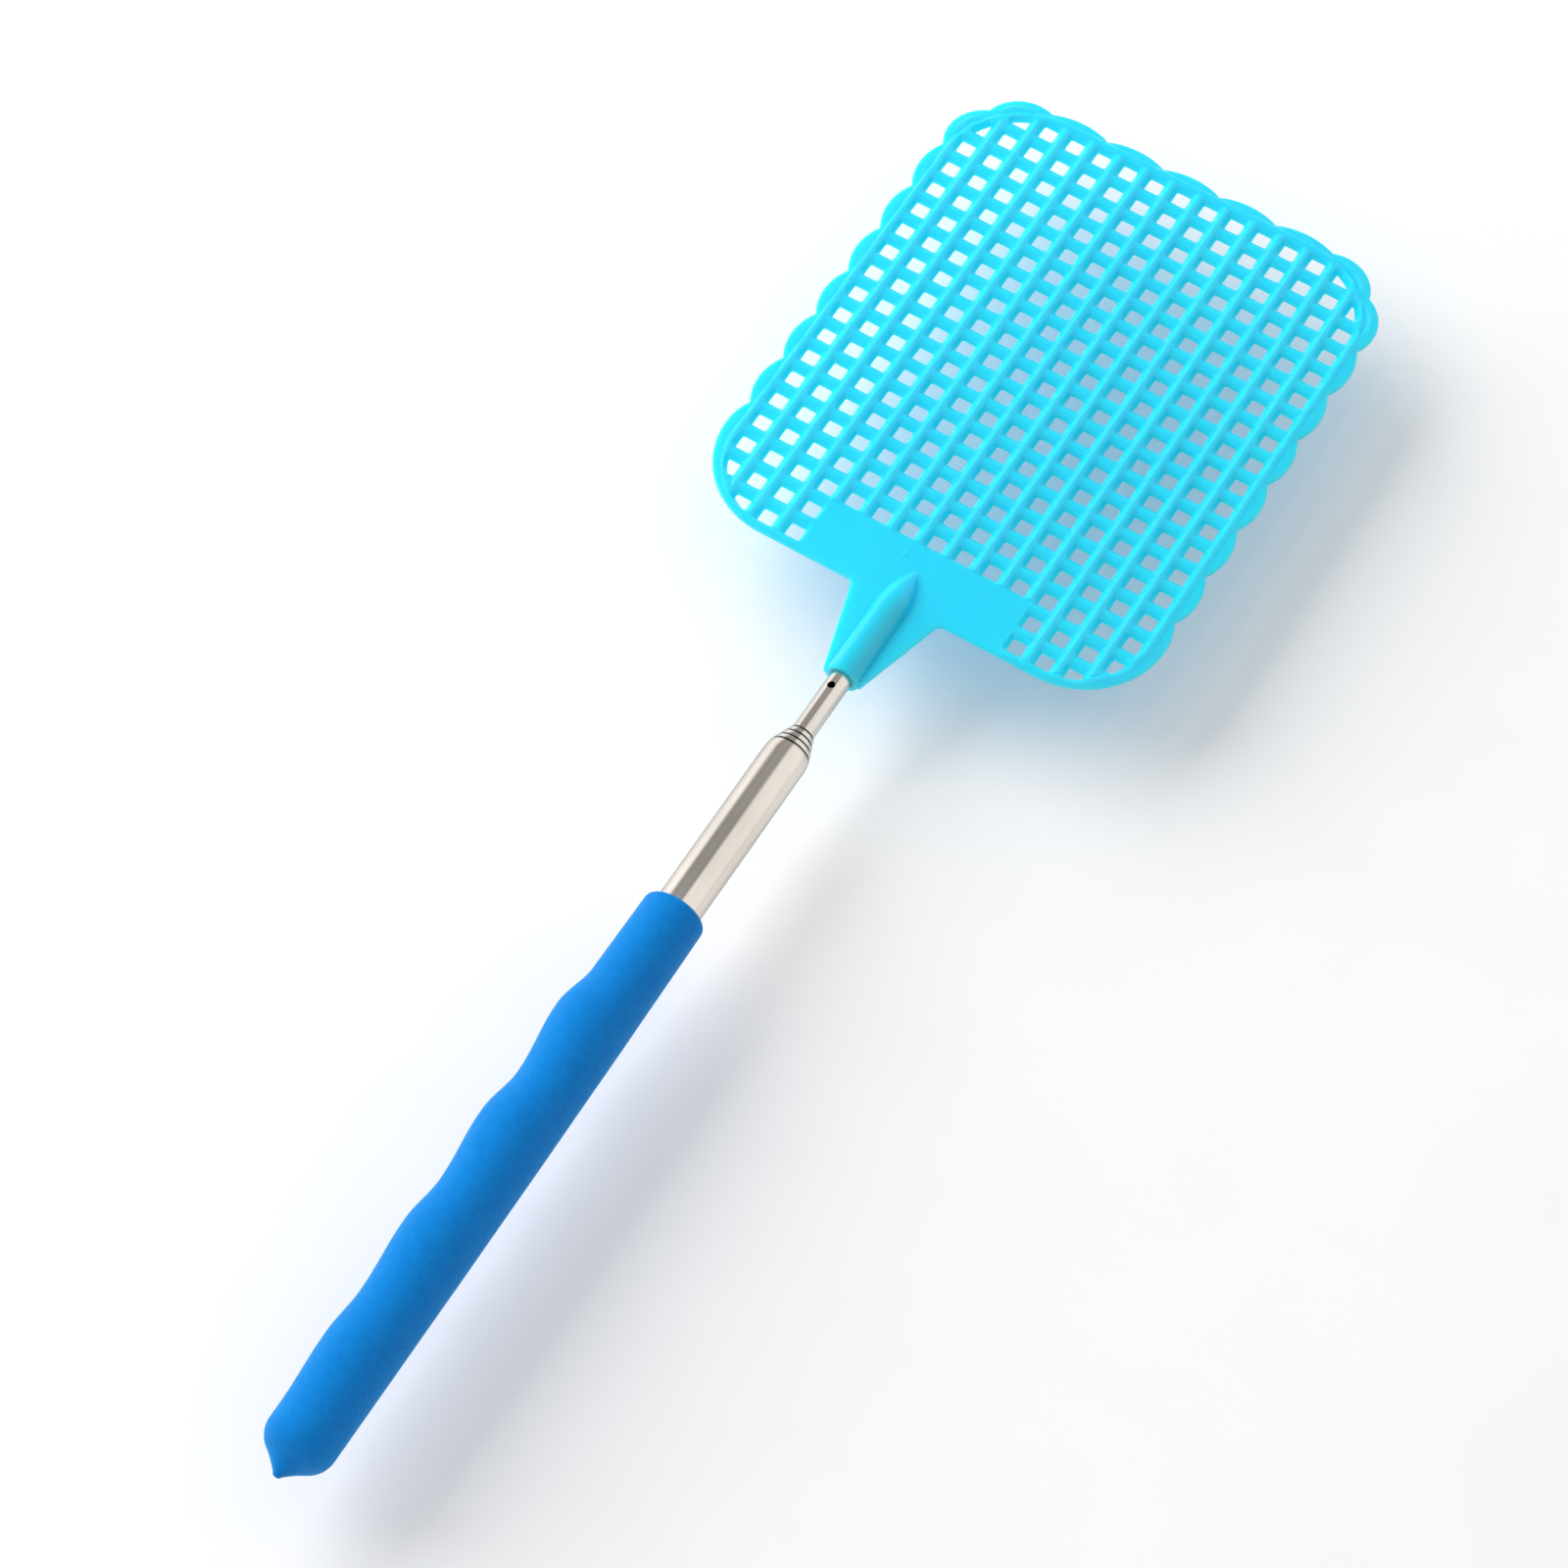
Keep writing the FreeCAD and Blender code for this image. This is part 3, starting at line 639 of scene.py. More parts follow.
def back_height(x, y):
    return soft_max(np.full(len(x), HEAD_BACK), socket_height(x, y), BACK_BLEND)


def rounding_drop(edge, radius):
    inside = np.clip(radius - edge, 0, radius)
    return radius - np.sqrt(radius ** 2 - inside ** 2)


def crest_points():
    """Lines of points along the ribs' crests, closer together near the crossings."""
    reach = CROSSING_CORNER
    lines = []
    for column in range(-COLUMN_REACH, COLUMN_REACH):
        for row in range(-ROWS_DOWN, ROWS_UP):
            crossing = Vector(((column + 0.5) * PITCH, GRID_Y + (row + 0.5) * PITCH))
            for way in (Vector((1, 0)), Vector((0, 1))):
                lines.append([crossing + way * step for step in CREST_STEPS])
            for level in (-reach, reach):
                lines.append([crossing + Vector((-reach, level)), crossing + Vector((reach, level))])
    return lines


def rim_points(outline):
    """Rings of points over the bead, the groove and the raised line along the scallops."""
    points = []
    for gap in BEAD_GAPS:
        for point, normal in region_samples():
            points.append(point + normal * gap)
    for depth in CREASE_GAPS:
        for point, normal in outline:
            if point.y > FIRST_VALLEY_Y - 2 * CREASE_FADE:
                points.append(point - normal * depth)
    return points


def region_samples():
    """The mesh's boundary as evenly spaced (point, outward normal) pairs."""
    corners = []
    places = [
        (MESH_HALF_WIDTH - MESH_BOTTOM_RADIUS, MESH_BOTTOM_Y + MESH_BOTTOM_RADIUS, MESH_BOTTOM_RADIUS, -90),
        (MESH_HALF_WIDTH - MESH_TOP_RADIUS, MESH_TOP_Y - MESH_TOP_RADIUS, MESH_TOP_RADIUS, 0),
        (MESH_TOP_RADIUS - MESH_HALF_WIDTH, MESH_TOP_Y - MESH_TOP_RADIUS, MESH_TOP_RADIUS, 90),
        (MESH_BOTTOM_RADIUS - MESH_HALF_WIDTH, MESH_BOTTOM_Y + MESH_BOTTOM_RADIUS, MESH_BOTTOM_RADIUS, 180),
    ]
    for x, y, radius, start in places:
        corner = []
        for step in range(REGION_CORNER_STEPS + 1):
            normal = unit(math.radians(start + 90 * step / REGION_CORNER_STEPS))
            corner.append((Vector((x, y)) + normal * radius, normal))
        corners.append(corner)
    samples = []
    for index, corner in enumerate(corners):
        samples += corner
        start, normal = corner[-1]
        end = corners[(index + 1) % len(corners)][0][0]
        steps = int((end - start).length / REGION_STEP)
        for step in range(1, steps):
            samples.append((start.lerp(end, step / steps), normal))
    return samples


def panel_points():
    """Points over the panel, round the gate's stub and along the panel's upper edge."""
    points = []
    first_row = 0.6
    for row in range(int((PANEL_TOP_Y - NECK_Y) / PANEL_STEP)):
        y = NECK_Y + PANEL_STEP * (row + first_row)
        for column in range(-PANEL_COLUMNS, PANEL_COLUMNS + 1):
            x = column * PANEL_STEP
            if abs(x) > socket_radius_at(y) + PANEL_CLEAR:
                points.append(Vector((x, y)))
    for share in GATE_SHARES:
        for step in range(GATE_STEPS):
            points.append(Vector(GATE) + unit(2 * math.pi * step / GATE_STEPS) * GATE_RADIUS * share)
    points.append(Vector(GATE))
    for column in range(-PANEL_EDGE_STEPS, PANEL_EDGE_STEPS + 1):
        x = column * PANEL_HALF_WIDTH / PANEL_EDGE_STEPS
        for gap in PANEL_EDGE_GAPS:
            points.append(Vector((x, PANEL_TOP_Y - gap)))
    return points


def socket_lines(first_y):
    """Lines along the socket, one for each place across it."""
    before_nose = 0.5
    thinnest = 0.05
    count = int((NOSE_END_Y - first_y - before_nose) / SOCKET_STEP)
    rows = [first_y + SOCKET_STEP * step for step in range(1, count)]
    rows += [NOSE_END_Y - gap for gap in NOSE_GAPS]
    lines = []
    for place in range(len(SOCKET_ANGLES + BESIDE_SOCKET)):
        for side in ((1,) if place == 0 else (-1, 1)):
            line = []
            for y in rows:
                radius = max(float(socket_radius_at(y)), thinnest)
                line.append(Vector((side * socket_offsets(radius)[place], y)))
            lines.append(line)
    return lines


def band_faces(rings):
    faces = []
    for near, far in zip(rings, rings[1:]):
        count = len(near)
        for index in range(count):
            after = (index + 1) % count
            faces.append((near[index], near[after], far[after], far[index]))
    return faces


def fill(outer, holes, lines, loose, wanted):
    """Triangles between an outer loop and holes, through the wanted points of the lines and loose points.

    Gives the points, the triangles and for each point its number in the loops, or None if it's in none."""
    points = []
    edges = []
    loops = []
    for loop in [outer] + holes:
        start = len(points)
        points += loop
        loops.append(list(range(start, start + len(loop))))
    in_loops = len(points)
    for line in lines:
        previous = None
        for point, keep in zip(line, wanted(line)):
            if keep:
                points.append(point)
                if previous is not None:
                    edges.append((previous, len(points) - 1))
            previous = len(points) - 1 if keep else None
    points += [point for point, keep in zip(loose, wanted(loose)) if keep]
    inside_only, tolerance = 1, 1e-4
    result = delaunay_2d_cdt(points, edges, loops, inside_only, tolerance, True)
    coordinates, _, faces, sources, _, owners = result
    kept = [face for face, owner in zip(faces, owners) if list(owner) == [0]]
    origins = [min(source) if source and min(source) < in_loops else None for source in sources]
    return [tuple(point) for point in coordinates], kept, origins


def wanted_test(openings, outline, margin):
    """Makes the test for points that lie within the outline, clear of its rounding and the openings."""
    def wanted(points):
        if not points:
            return []
        x = np.array([point.x for point in points])
        y = np.array([point.y for point in points])
        keep = inside_outline(x, y, outline) & (edge_distance(x, y, outline) > margin)
        if openings:
            keep &= cell_distance(x, y, openings) > FLANK_RINGS[-1] + FLANK_CLEAR
        return keep
    return wanted


def head_mesh():
    """The whole moulding: each opening's flank and wall, the rounded outer edge, the front and the back."""
    outline = outline_samples()
    cells = opening_cells()
    openings = set(cells)
    holes = [opening_samples(column, row) for column, row in cells]
    flat = []
    flanks = []
    edges = []
    levels = []
    faces = []
    front, back = 1, -1
    unknown, far = -1.0, 50.0           # distances still to be worked out, and too great to matter

    def add(points, flank, edge, level):
        start = len(flat)
        flat.extend((point[0], point[1]) for point in points)
        flanks.extend([flank] * len(points))
        edges.extend([edge] * len(points))
        levels.extend([level] * len(points))
        return list(range(start, start + len(points)))

    def add_fill(filled, loop_numbers, flank, edge, level):
        coordinates, triangles, origins = filled
        fresh = [place for place, origin in enumerate(origins) if origin is None]
        numbers = dict(zip(fresh, add([coordinates[place] for place in fresh], flank, edge, level)))
        shared = [place for place, origin in enumerate(origins) if origin is not None]
        numbers.update((place, loop_numbers[origins[place]]) for place in shared)
        faces.extend(tuple(numbers[corner] for corner in face) for face in triangles)

    front_loops = []
    back_loops = []
    for samples in holes:
        rings = [add([point + normal * gap for point, normal in samples], gap, unknown, front)
                 for gap in FLANK_RINGS]
        wall = add([point for point, _ in samples], 0.0, far, back)
        faces.extend(band_faces(rings) + band_faces([rings[0], wall]))
        front_loops.append(rings[-1])
        back_loops.append(wall)
    outer_rings = []
    for level, radius in ((front, FRONT_ROUND), (back, BACK_ROUND)):
        rings = []
        for share in EDGE_SHARES:
            ring = [point - normal * radius * share for point, normal in outline]
            rings.append(add(ring, far, radius * share, level))
        faces.extend(band_faces(rings))
        outer_rings.append(rings)
    faces.extend(band_faces([outer_rings[0][0], outer_rings[1][0]]))

    outer = [point - normal * FRONT_ROUND for point, normal in outline]
    inmost = [[point + normal * FLANK_RINGS[-1] for point, normal in samples] for samples in holes]
    loose = rim_points(outline) + panel_points()
    lines = crest_points() + socket_lines(NECK_Y + FRONT_ROUND)
    wanted = wanted_test(openings, outline, FRONT_ROUND + EDGE_CLEAR)
    numbers = sum([outer_rings[0][-1]] + front_loops, [])
    add_fill(fill(outer, inmost, lines, loose, wanted), numbers, unknown, unknown, front)

    outer = [point - normal * BACK_ROUND for point, normal in outline]
    back_holes = [[point for point, _ in samples] for samples in holes]
    wanted = wanted_test(None, outline, BACK_ROUND + EDGE_CLEAR)
    numbers = sum([outer_rings[1][-1]] + back_loops, [])
    add_fill(fill(outer, back_holes, socket_lines(NECK_Y + BACK_ROUND), [], wanted), numbers, far, far, back)

    x, y = np.array(flat).T
    flanks = np.array(flanks)
    edges = np.array(edges)
    asked = flanks == unknown
    flanks[asked] = np.maximum(cell_distance(x[asked], y[asked], openings), FLANK_RINGS[-1])
    asked = edges == unknown
    edges[asked] = np.maximum(edge_distance(x[asked], y[asked], outline), FRONT_ROUND)
    top = front_height(x, y, flanks, edges) - rounding_drop(edges, FRONT_ROUND)
    bottom = -back_height(x, y) + rounding_drop(edges, BACK_ROUND)
    height = np.where(np.array(levels) == front, top, bottom)
    return mesh_from("swatter_head_mesh", np.column_stack([x, y, height]), faces)


def build_head(material):
    head = add_object("swatter_head_moulding", head_mesh())
    outside = 1.0
    rod = cylinder_between("rod_seat", (0, NECK_Y - outside, 0), (0, ROD_HIGH.y, 0), ROD_RADIUS, 64)
    cut(head, rod)
    shade(head.data)
    stand_in(head, "swatter_head", "tip_rod", material)


# -------- the telescopic shaft

TUBES = ("outer_tube", "second_tube", "third_tube", "fourth_tube")
TUBE_RADIUS = 4.0  # the outer tube's
WALL = 0.25
ROD_WALL = 0.5
TUBE_SEGMENTS = 144
ROD_SEGMENTS = 96
CUT_EDGE = 0.06  # chamfer on a tube's lower end
LIP_DROP = 0.32  # the rolled mouth draws in by this much outside, and in its bore
LIP_BORE_DROP = 0.42
LIP_BOW = 0.28 * LIP_DROP
LIP_GROOVE = 0.35  # length of the bore's flare at the mouth, and of its narrow land
LIP_LAND = 0.25
MOUTH_ROUND = 0.05
MOUTH_EDGE = 0.03
SHOULDER_STEPS = 10
MOUTH_SHADE_FADE = 0.62  # the painted shade line in a mouth fades in between these depths
MOUTH_SHADE_FULL = 0.34
FIRST_SHOULDER = 2.4
SHOULDER = 1.25
STOP_LENGTH = 1.2
STOP_STEPS = 8
STOP_PLACE = 12.8  # the stop bead's start over a tube's lower end
DIMPLE_ACROSS = 1.94  # a small dimple in the outer tube's front
DIMPLE_BELOW = 5.3  # its place below the mouth
DIMPLE_RADIUS = 0.8
DIMPLE_DEPTH = 0.10
DIMPLE_SPREAD = DIMPLE_RADIUS / 1.6
DIMPLE_STRETCH = 7.7  # from here below the mouth the tube is sampled closely
DIMPLE_STEP = 0.2
DIMPLE_STEPS = 24
CROSS_HOLE_RADIUS = 0.7
CROSS_HOLE_DROP = 2.9  # the open hole's place below the socket
CROSS_HOLE_TURN = math.radians(-9)


def stop_bead(radius, y):
    """Profile points of the bead that stops a section from sliding right out."""
    return [(radius, y)] + arc_profile((radius, y), -STOP_RISE, (radius, y + STOP_LENGTH), STOP_STEPS)


def tube_profile(low_y, high_y, radius, shoulder, stop):
    """The closed section of a thin tube with a rolled-in mouth: up the outside and down the bore."""
    bore = radius - WALL
    roll_start = (radius, high_y - shoulder)
    lip = radius - LIP_DROP
    land = radius - LIP_BORE_DROP
    land_y = high_y - LIP_GROOVE
    profile = [(radius - CUT_EDGE, low_y), (radius, low_y + CUT_EDGE)]
    if stop:
        profile += stop_bead(radius, low_y + STOP_PLACE)
    else:
        start_y = high_y - DIMPLE_STRETCH
        profile += [(radius, start_y + DIMPLE_STEP * step) for step in range(DIMPLE_STEPS + 1)]
    profile.append(roll_start)
    profile += arc_profile(roll_start, -LIP_BOW, (lip, high_y - MOUTH_EDGE), SHOULDER_STEPS)
    profile += [(lip - MOUTH_ROUND, high_y), (lip - 2 * MOUTH_ROUND, high_y - MOUTH_ROUND)]
    profile += [(land, land_y), (land, land_y - LIP_LAND)]
    profile += [(bore, high_y - shoulder), (bore, low_y)]
    return profile


def press_dimple(points, mouth_y):
    """Pushes in the small round dimple near the outer tube's mouth."""
    pressed = []
    for x, y, z in points:
        reach = math.hypot(x, z)
        gap = math.hypot(x - DIMPLE_ACROSS, y - mouth_y + DIMPLE_BELOW)
        if z > 0 and gap < 2 * DIMPLE_RADIUS and reach > TUBE_RADIUS - WALL / 2:
            share = (reach - DIMPLE_DEPTH * math.exp(-(gap / DIMPLE_SPREAD) ** 2)) / reach
            x, z = x * share, z * share
        pressed.append((x, y, z))
    return pressed


def paint_mouth_shade(mesh, mouth_y):
    """Marks the rolled lip's last bit and the bore behind it, where painted shade darkens the steel."""
    mouth_shade = mesh.attributes.new("mouth_shade", "FLOAT", "POINT")
    heights = np.array([vert.co.y for vert in mesh.vertices]) / MM
    mouth_shade.data.foreach_set("value", smooth_step(mouth_y - MOUTH_SHADE_FADE, mouth_y - MOUTH_SHADE_FULL, heights))


def build_tubes(material):
    for index, node in enumerate(TUBES):
        low, high = box_mm(node)
        stop = index > 0
        radius = high.z - STOP_RISE if stop else high.z
        shoulder = SHOULDER if stop else FIRST_SHOULDER
        points, faces = lathe(tube_profile(low.y, high.y, radius, shoulder, stop), TUBE_SEGMENTS)
        if not stop:
            points = press_dimple(points, high.y)
        tube = add_object(node + "_drawn", mesh_from(node + "_mesh", points, faces))
        paint_mouth_shade(tube.data, high.y)
        shade(tube.data, METAL_ANGLE)
        body = "handle" if index == 0 else node
        stand_in(tube, node, body, material)


def build_rod(material):
    bore = ROD_RADIUS - ROD_WALL
    low_y, high_y = ROD_LOW.y, ROD_HIGH.y
    profile = [(ROD_RADIUS, low_y)] + stop_bead(ROD_RADIUS, low_y + STOP_PLACE)
    profile += [(ROD_RADIUS, high_y), (bore, high_y), (bore, low_y)]
    points, faces = lathe(profile, ROD_SEGMENTS)
    rod = add_object("tip_rod_drawn", mesh_from("tip_rod_mesh", points, faces))
    hole_y = NECK_Y - CROSS_HOLE_DROP
    way = Vector((math.sin(CROSS_HOLE_TURN), 0, math.cos(CROSS_HOLE_TURN))) * 2 * ROD_RADIUS
    middle = Vector((0, hole_y, 0))
    cut(rod, cylinder_between("drilling", middle - way, middle + way, CROSS_HOLE_RADIUS))
    shade(rod.data, METAL_ANGLE)
    stand_in(rod, "tip_rod", "tip_rod", material)


# -------- the grip

GRIP_LOW, GRIP_HIGH = box_mm("grip")
GRIP_RADIUS = GRIP_HIGH.x
GRIP_TOP_Y = GRIP_HIGH.y
GRIP_TOP_TAPER = 0.5
GRIP_TAPER_START_Y = 30.0
GRIP_LIP_RADIUS = 1.2
BUMPS = 4
BUMP_SPACING = 22.3
FIRST_BUMP_Y = GRIP_TOP_Y - 25.0
FIRST_BUMP_HEIGHT = 1.34
BUMP_HEIGHT_STEP = 0.25
BUMP_HEAD_SIDE = 8.3
BUMP_BUTT_SIDE = BUMP_SPACING - BUMP_HEAD_SIDE
BUTT_TOP_Y = FIRST_BUMP_Y - (BUMPS - 1) * BUMP_SPACING - BUMP_BUTT_SIDE
GRIP_SEGMENTS = 128
GRIP_STEPS = 190
GRIP_LIP_STEPS = 8
GRIP_FLARE = 0.12  # of the bore at the lip, across and deep
GRIP_FLARE_DEPTH = 0.15
GRIP_BORE_Y = 8.0
BUTT_END = (0.25, 0.03)  # radius and height at the drip point's end, at its root,
BUTT_ROOT = (0.8, 0.48)  # and where the blunt cone meets the rounded shoulder
BUTT_CONE = (4.3, 3.6)
BUTT_BOW = 0.12
BUTT_SHOULDER_Y = 7.2
SHOULDER_SPACING = 0.7


def grip_radius(y):
    past = max(0.0, (y - GRIP_TAPER_START_Y) / (GRIP_TOP_Y - GRIP_TAPER_START_Y))
    return GRIP_RADIUS - GRIP_TOP_TAPER * past ** 2


def bump_height(y):
    """Height of the finger bumps: steep towards the head, gentle towards the butt."""
    for index in range(BUMPS):
        crest_y = FIRST_BUMP_Y - index * BUMP_SPACING
        side = BUMP_HEAD_SIDE if y > crest_y else BUMP_BUTT_SIDE
        away = abs(y - crest_y) / side
        if away < 1:
            height = FIRST_BUMP_HEIGHT - index * BUMP_HEIGHT_STEP
            return height * (1 + math.cos(math.pi * away)) / 2
    return 0.0


def shoulder_arc(start, end, steps):
    """Profile points after start on an arc that runs straight up the shaft when it reaches end."""
    inset = end[0] - start[0]
    rise = end[1] - start[1]
    radius = (inset ** 2 + rise ** 2) / (2 * inset)
    turn = math.asin(rise / radius)
    points = []
    for step in range(1, steps + 1):
        angle = turn * (1 - step / steps)
        points.append((end[0] - radius * (1 - math.cos(angle)), end[1] - radius * math.sin(angle)))
    return points


def grip_shift(radius, y):
    """Each bump is an eccentric circle, so the side opposite it stays straight."""
    in_bore = radius <= TUBE_RADIUS + GRIP_FLARE
    if in_bore or y >= GRIP_TOP_Y - GRIP_LIP_RADIUS:
        return 0.0, 0.0
    height = bump_height(y)
    return -height / 2, height / 2


def build_grip(material):
    shoulder_radius = grip_radius(BUTT_TOP_Y)
    drip_steps, cone_steps, shoulder_steps, straight_steps = 4, 10, 14, 3
    profile = [(0.0, 0.0), BUTT_END]
    profile += arc_profile(BUTT_END, -BUTT_BOW, BUTT_ROOT, drip_steps)
    profile += arc_profile(BUTT_ROOT, BUTT_BOW, BUTT_CONE, cone_steps)
    profile += shoulder_arc(BUTT_CONE, (shoulder_radius, BUTT_SHOULDER_Y), shoulder_steps)
    for step in range(1, straight_steps + 1):
        profile.append((shoulder_radius, BUTT_SHOULDER_Y + SHOULDER_SPACING * step))
    top_y = GRIP_TOP_Y - GRIP_LIP_RADIUS
    for step in range(1, GRIP_STEPS + 1):
        y = BUTT_TOP_Y + (top_y - BUTT_TOP_Y) * step / GRIP_STEPS
        profile.append((grip_radius(y), y))
    lip_radius = grip_radius(top_y)
    for step in range(1, GRIP_LIP_STEPS + 1):
        angle = math.pi / 2 * step / GRIP_LIP_STEPS
        reach = lip_radius - GRIP_LIP_RADIUS * (1 - math.cos(angle))
        profile.append((reach, top_y + GRIP_LIP_RADIUS * math.sin(angle)))
    profile += [(TUBE_RADIUS + GRIP_FLARE, GRIP_TOP_Y), (TUBE_RADIUS, GRIP_TOP_Y - GRIP_FLARE_DEPTH)]
    profile += [(TUBE_RADIUS, GRIP_BORE_Y), (0.0, GRIP_BORE_Y)]
    points, faces = lathe(profile, GRIP_SEGMENTS, grip_shift)
    grip = add_object("grip_dipped", mesh_from("grip_mesh", points, faces))
    shade(grip.data, RUBBER_ANGLE)
    stand_in(grip, "grip", "handle", material)


# -------- materials

class Nodes:
    """Short calls for making the nodes of a material or a world."""

    def __init__(self, tree, surface):
        self.tree = tree
        self.surface = tree.nodes[surface]

    def feed(self, socket, value):
        """Gives an input a value, or joins another node's output to it."""
        if isinstance(value, bpy.types.NodeSocket):
            self.tree.links.new(value, socket)
        else:
            socket.default_value = value

    def add(self, kind, inputs=None, **settings):
        node = self.tree.nodes.new(kind)
        for name, value in settings.items():
            setattr(node, name, value)
        for name, value in (inputs or {}).items():
            self.feed(node.inputs[name], value)
        return node

    def set(self, **values):
        """Sets the surface's inputs."""
        for name, value in values.items():
            self.feed(self.surface.inputs[name.replace("_", " ")], value)

    def noise(self, scale, stretch=(1, 1, 1), detail=3.0, roughness=0.5):
        """Noise by place on the piece in metres, stretched."""
        place = self.add("ShaderNodeTexCoord").outputs["Object"]
        place = self.add("ShaderNodeMapping", {"Scale": stretch, "Vector": place}).outputs["Vector"]
        inputs = {"Scale": scale, "Detail": detail, "Roughness": roughness, "Vector": place}
        return self.add("ShaderNodeTexNoise", inputs).outputs["Fac"]

    def range(self, value, low, high, from_low=0.3, from_high=0.7):
        inputs = {"From Min": from_low, "From Max": from_high, "To Min": low, "To Max": high, "Value": value}
        return self.add("ShaderNodeMapRange", inputs).outputs["Result"]

    def mix(self, factor, first, second):
        node = self.add("ShaderNodeMix", {"Factor": factor}, data_type="RGBA")
        places = [item for item in node.inputs if item.type == "RGBA"]
        for place, colour in zip(places, (first, second)):
            self.feed(place, (*colour, 1) if isinstance(colour, tuple) else colour)
        return [item for item in node.outputs if item.type == "RGBA"][0]

    def bump(self, height, strength, distance):
        node = self.add("ShaderNodeBump", {"Strength": strength, "Distance": distance, "Height": height})
        self.feed(self.surface.inputs["Normal"], node.outputs["Normal"])


def new_material(name):
    material = bpy.data.materials.new(name)
    material.use_nodes = True
    return material, Nodes(material.node_tree, "Principled BSDF")


def head_plastic():
    """Glossy, slightly see-through polyethylene, with faint flow marks from moulding."""
    material, nodes = new_material("head_plastic")
    flow = nodes.noise(60, (1, 0.35, 1), 2.0)
    colour = nodes.mix(nodes.range(flow, 0, 1), (0.006, 0.60, 0.94), (0.009, 0.645, 0.97))
    nodes.set(Base_Color=colour, Roughness=nodes.range(nodes.noise(420), 0.30, 0.40))
    nodes.set(Subsurface_Weight=1.0, Subsurface_Radius=(0.4, 1.0, 0.8), Subsurface_Scale=0.0035)
    nodes.set(Specular_IOR_Level=0.6)
    nodes.bump(nodes.noise(1600, detail=2.0), 0.12, 0.00012)
    return material


def grip_rubber():
    """Soft dipped rubber, with a fine grain and a light bloom at grazing angles."""
    material, nodes = new_material("grip_rubber")
    cloud = nodes.noise(700, detail=6.0, roughness=0.7)
    colour = nodes.mix(nodes.range(cloud, 0, 1), (0.002, 0.185, 0.57), (0.004, 0.22, 0.65))
    nodes.set(Base_Color=colour, Roughness=nodes.range(nodes.noise(900), 0.45, 0.6), Specular_IOR_Level=0.1)
    nodes.set(Sheen_Weight=0.5, Sheen_Roughness=0.35, Sheen_Tint=(0.0, 0.6, 1.0, 1.0))
    nodes.bump(nodes.noise(1900, detail=4.0, roughness=0.65), 0.6, 0.0002)
    return material


def drawn_metal(name, dark, light, rough_low, rough_high):
    """Polished metal with fine lines along the way it was drawn, with painted shade in the seams of its
    rolled mouths and painted shade towards its edges at grazing angles.
    """
    material, nodes = new_material(name)
    lines = nodes.noise(1500, (1, 0.02, 1), 4.0, 0.6)
    stain = nodes.noise(110, (1, 0.5, 1), 3.0)
    clean = nodes.mix(nodes.range(stain, 0, 1), dark, light)
    # painted shade: the colour darkens to dark brown towards grazing angles, so the edges read dark
    grazing = nodes.add("ShaderNodeLayerWeight", {"Blend": 0.5})
    edge_shaded = nodes.mix(nodes.range(grazing.outputs["Facing"], 0, 0.9, 0.62, 0.86), clean, (0.10, 0.09, 0.08))
    mouth_shade = nodes.add("ShaderNodeAttribute", attribute_name="mouth_shade")
    # painted shade: near-black colour in the rolled mouths, where shade falls between the nested tubes
    colour = nodes.mix(mouth_shade.outputs["Fac"], edge_shaded, (0.03, 0.028, 0.026))
    nodes.set(Base_Color=colour, Metallic=1.0, Roughness=nodes.range(lines, rough_low, rough_high))
    nodes.bump(lines, 0.08, 0.00006)
    return material


def moulded_nylon():
    material, nodes = new_material("plug_plastic")
    cloud = nodes.noise(200)
    colour = nodes.mix(nodes.range(cloud, 0, 1), (0.03, 0.03, 0.033), (0.05, 0.05, 0.055))
    nodes.set(Base_Color=colour, Roughness=nodes.range(nodes.noise(700), 0.4, 0.55))
    nodes.bump(nodes.noise(2500), 0.2, 0.0001)
    return material


def finish_name(node_name):
    if node_name == "base_plug":
        return "plug_plastic"
    return "spring_bronze" if node_name.endswith("_spring") else "plug_brass"


def dress_cad_nodes(finishes):
    """Gives every CAD node that stays on show its finish."""
    for name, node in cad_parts.items():
        if node.hide_render:
            continue
        for place in node.material_slots:
            place.material = finishes[finish_name(name)]
        if not node.material_slots:
            node.data.materials.append(finishes[finish_name(name)])


# -------- studio

FLOOR_HALF = 3000
FLOOR_GAP = 10  # the floor lies this far below the grip


def build_floor():
    half = FLOOR_HALF
    level = GRIP_LOW.z - FLOOR_GAP
    points = [(-half, -half, level), (half, -half, level), (half, half, level), (-half, half, level)]
    floor = add_object("floor", mesh_from("floor_mesh", points, [(0, 1, 2, 3)]))
    material, nodes = new_material("floor_paper")
    colour = nodes.mix(nodes.range(nodes.noise(30), 0, 1), (0.94, 0.94, 0.94), (0.96, 0.96, 0.96))
    nodes.set(Base_Color=colour, Roughness=0.9)
    floor.data.materials.append(material)


KEY_PLACE = (-1.08, 0.28, 0.72)  # metres, as everything about light and camera is
KEY_AIM = (0, 0.15, 0)
KEY_SIZE = (1.5, 1.1)
KEY_POWER = 20


def area_light(name, place, aim, size, power):
    """A white light that doesn't show in shiny surfaces."""
    data = bpy.data.lights.new(name, "AREA")
    data.shape = "RECTANGLE"
    data.size, data.size_y = size
    data.energy = power
    light = bpy.data.objects.new(name, data)
    bpy.context.scene.collection.objects.link(light)
    light.location = place
    light.visible_glossy = False
    light.rotation_euler = (Vector(aim) - Vector(place)).to_track_quat("-Z", "Y").to_euler()


WORLD_DIFFUSE = 0.60
# What shiny surfaces see of the room round the shaft's axis: degrees from straight up towards +X, brightness.
WORLD_SEEN = ((-180, 0.8), (-125, 1.0), (-112, 1.3), (-66, 1.3), (-54, 0.42), (-42, 0.36), (-24, 0.42),
              (3, 0.34), (13, 1.05), (70, 1.1), (180, 0.8))


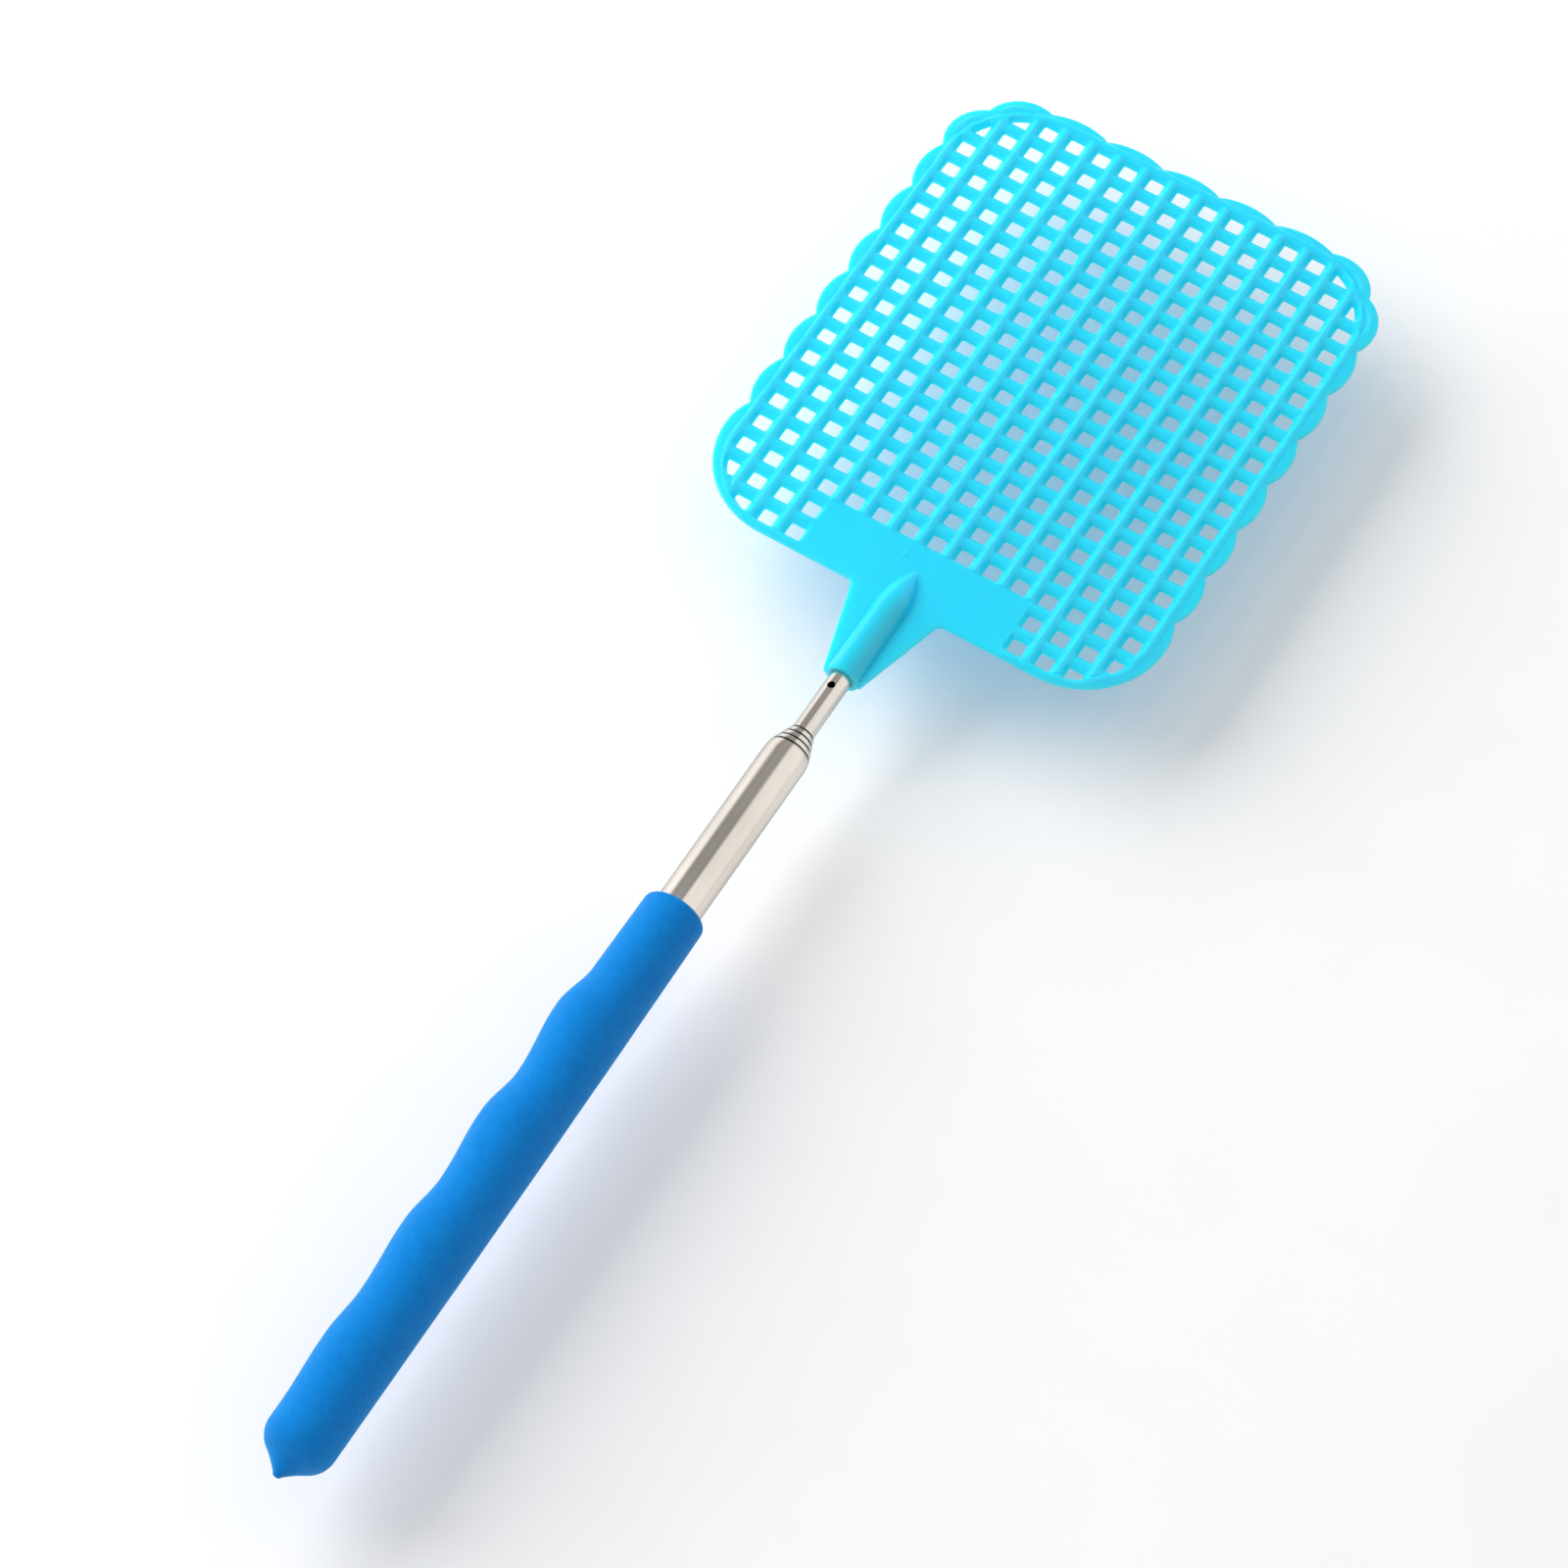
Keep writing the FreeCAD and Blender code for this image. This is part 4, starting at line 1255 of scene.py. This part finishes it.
def build_world():
    """Even white light, in which shiny surfaces see bright and dim stretches of the room instead."""
    world = bpy.data.worlds.new("studio")
    bpy.context.scene.world = world
    world.use_nodes = True
    nodes = Nodes(world.node_tree, "Background")
    way = nodes.add("ShaderNodeTexCoord").outputs["Generated"]
    split = nodes.add("ShaderNodeSeparateXYZ", {"Vector": way}).outputs
    angle = nodes.add("ShaderNodeMath", {0: split["X"], 1: split["Z"]}, operation="ARCTAN2").outputs["Value"]
    ramp = nodes.add("ShaderNodeValToRGB", {"Fac": nodes.range(angle, 0, 1, -math.pi, math.pi)})
    stops = ramp.color_ramp.elements
    for index, (degrees, bright) in enumerate(WORLD_SEEN):
        share = degrees / 360 + 0.5
        stop = stops[index] if index < 2 else stops.new(share)
        stop.position = share
        stop.color = (bright, bright, bright, 1)
    shiny = nodes.add("ShaderNodeLightPath").outputs["Is Glossy Ray"]
    choice = nodes.add("ShaderNodeMix", {"Factor": shiny, "A": WORLD_DIFFUSE, "B": ramp.outputs["Color"]})
    nodes.set(Color=(1, 1, 1, 1), Strength=choice.outputs["Result"])


VIEW_AZIMUTH = math.radians(26.7)
VIEW_ELEVATION = math.radians(59.3)
VIEW_ROLL = math.radians(4.92)
VIEW_DISTANCE = 0.806
VIEW_AIM = Vector((0.0024, 0.4983 * HEAD_HIGH.y * MM, 0.0))
LENS = 112.95
SENSOR = 36.0


def build_camera():
    back = Vector((math.sin(VIEW_AZIMUTH) * math.cos(VIEW_ELEVATION),
                   -math.cos(VIEW_AZIMUTH) * math.cos(VIEW_ELEVATION),
                   math.sin(VIEW_ELEVATION)))
    level = Vector((math.cos(VIEW_AZIMUTH), math.sin(VIEW_AZIMUTH), 0))
    upright = back.cross(level)
    right = level * math.cos(VIEW_ROLL) + upright * math.sin(VIEW_ROLL)
    up = back.cross(right)
    data = bpy.data.cameras.new("camera")
    data.lens = LENS
    data.sensor_width = SENSOR
    camera = bpy.data.objects.new("camera", data)
    bpy.context.scene.collection.objects.link(camera)
    turn = Matrix((right, up, back)).transposed().to_4x4()
    camera.matrix_world = Matrix.Translation(VIEW_AIM + back * VIEW_DISTANCE) @ turn
    bpy.context.scene.camera = camera


def main():
    bpy.context.scene.view_settings.view_transform = "Standard"
    steel = drawn_metal("tube_steel", (0.68, 0.625, 0.56), (0.80, 0.745, 0.675), 0.13, 0.24)
    build_head(head_plastic())
    build_tubes(steel)
    build_rod(steel)
    build_grip(grip_rubber())
    dress_cad_nodes({
        "plug_plastic": moulded_nylon(),
        "plug_brass": drawn_metal("plug_brass", (0.70, 0.47, 0.17), (0.80, 0.56, 0.24), 0.22, 0.38),
        "spring_bronze": drawn_metal("spring_bronze", (0.62, 0.36, 0.18), (0.72, 0.44, 0.24), 0.25, 0.40),
    })
    build_floor()
    build_world()
    area_light("key", KEY_PLACE, KEY_AIM, KEY_SIZE, KEY_POWER)
    build_camera()


main()
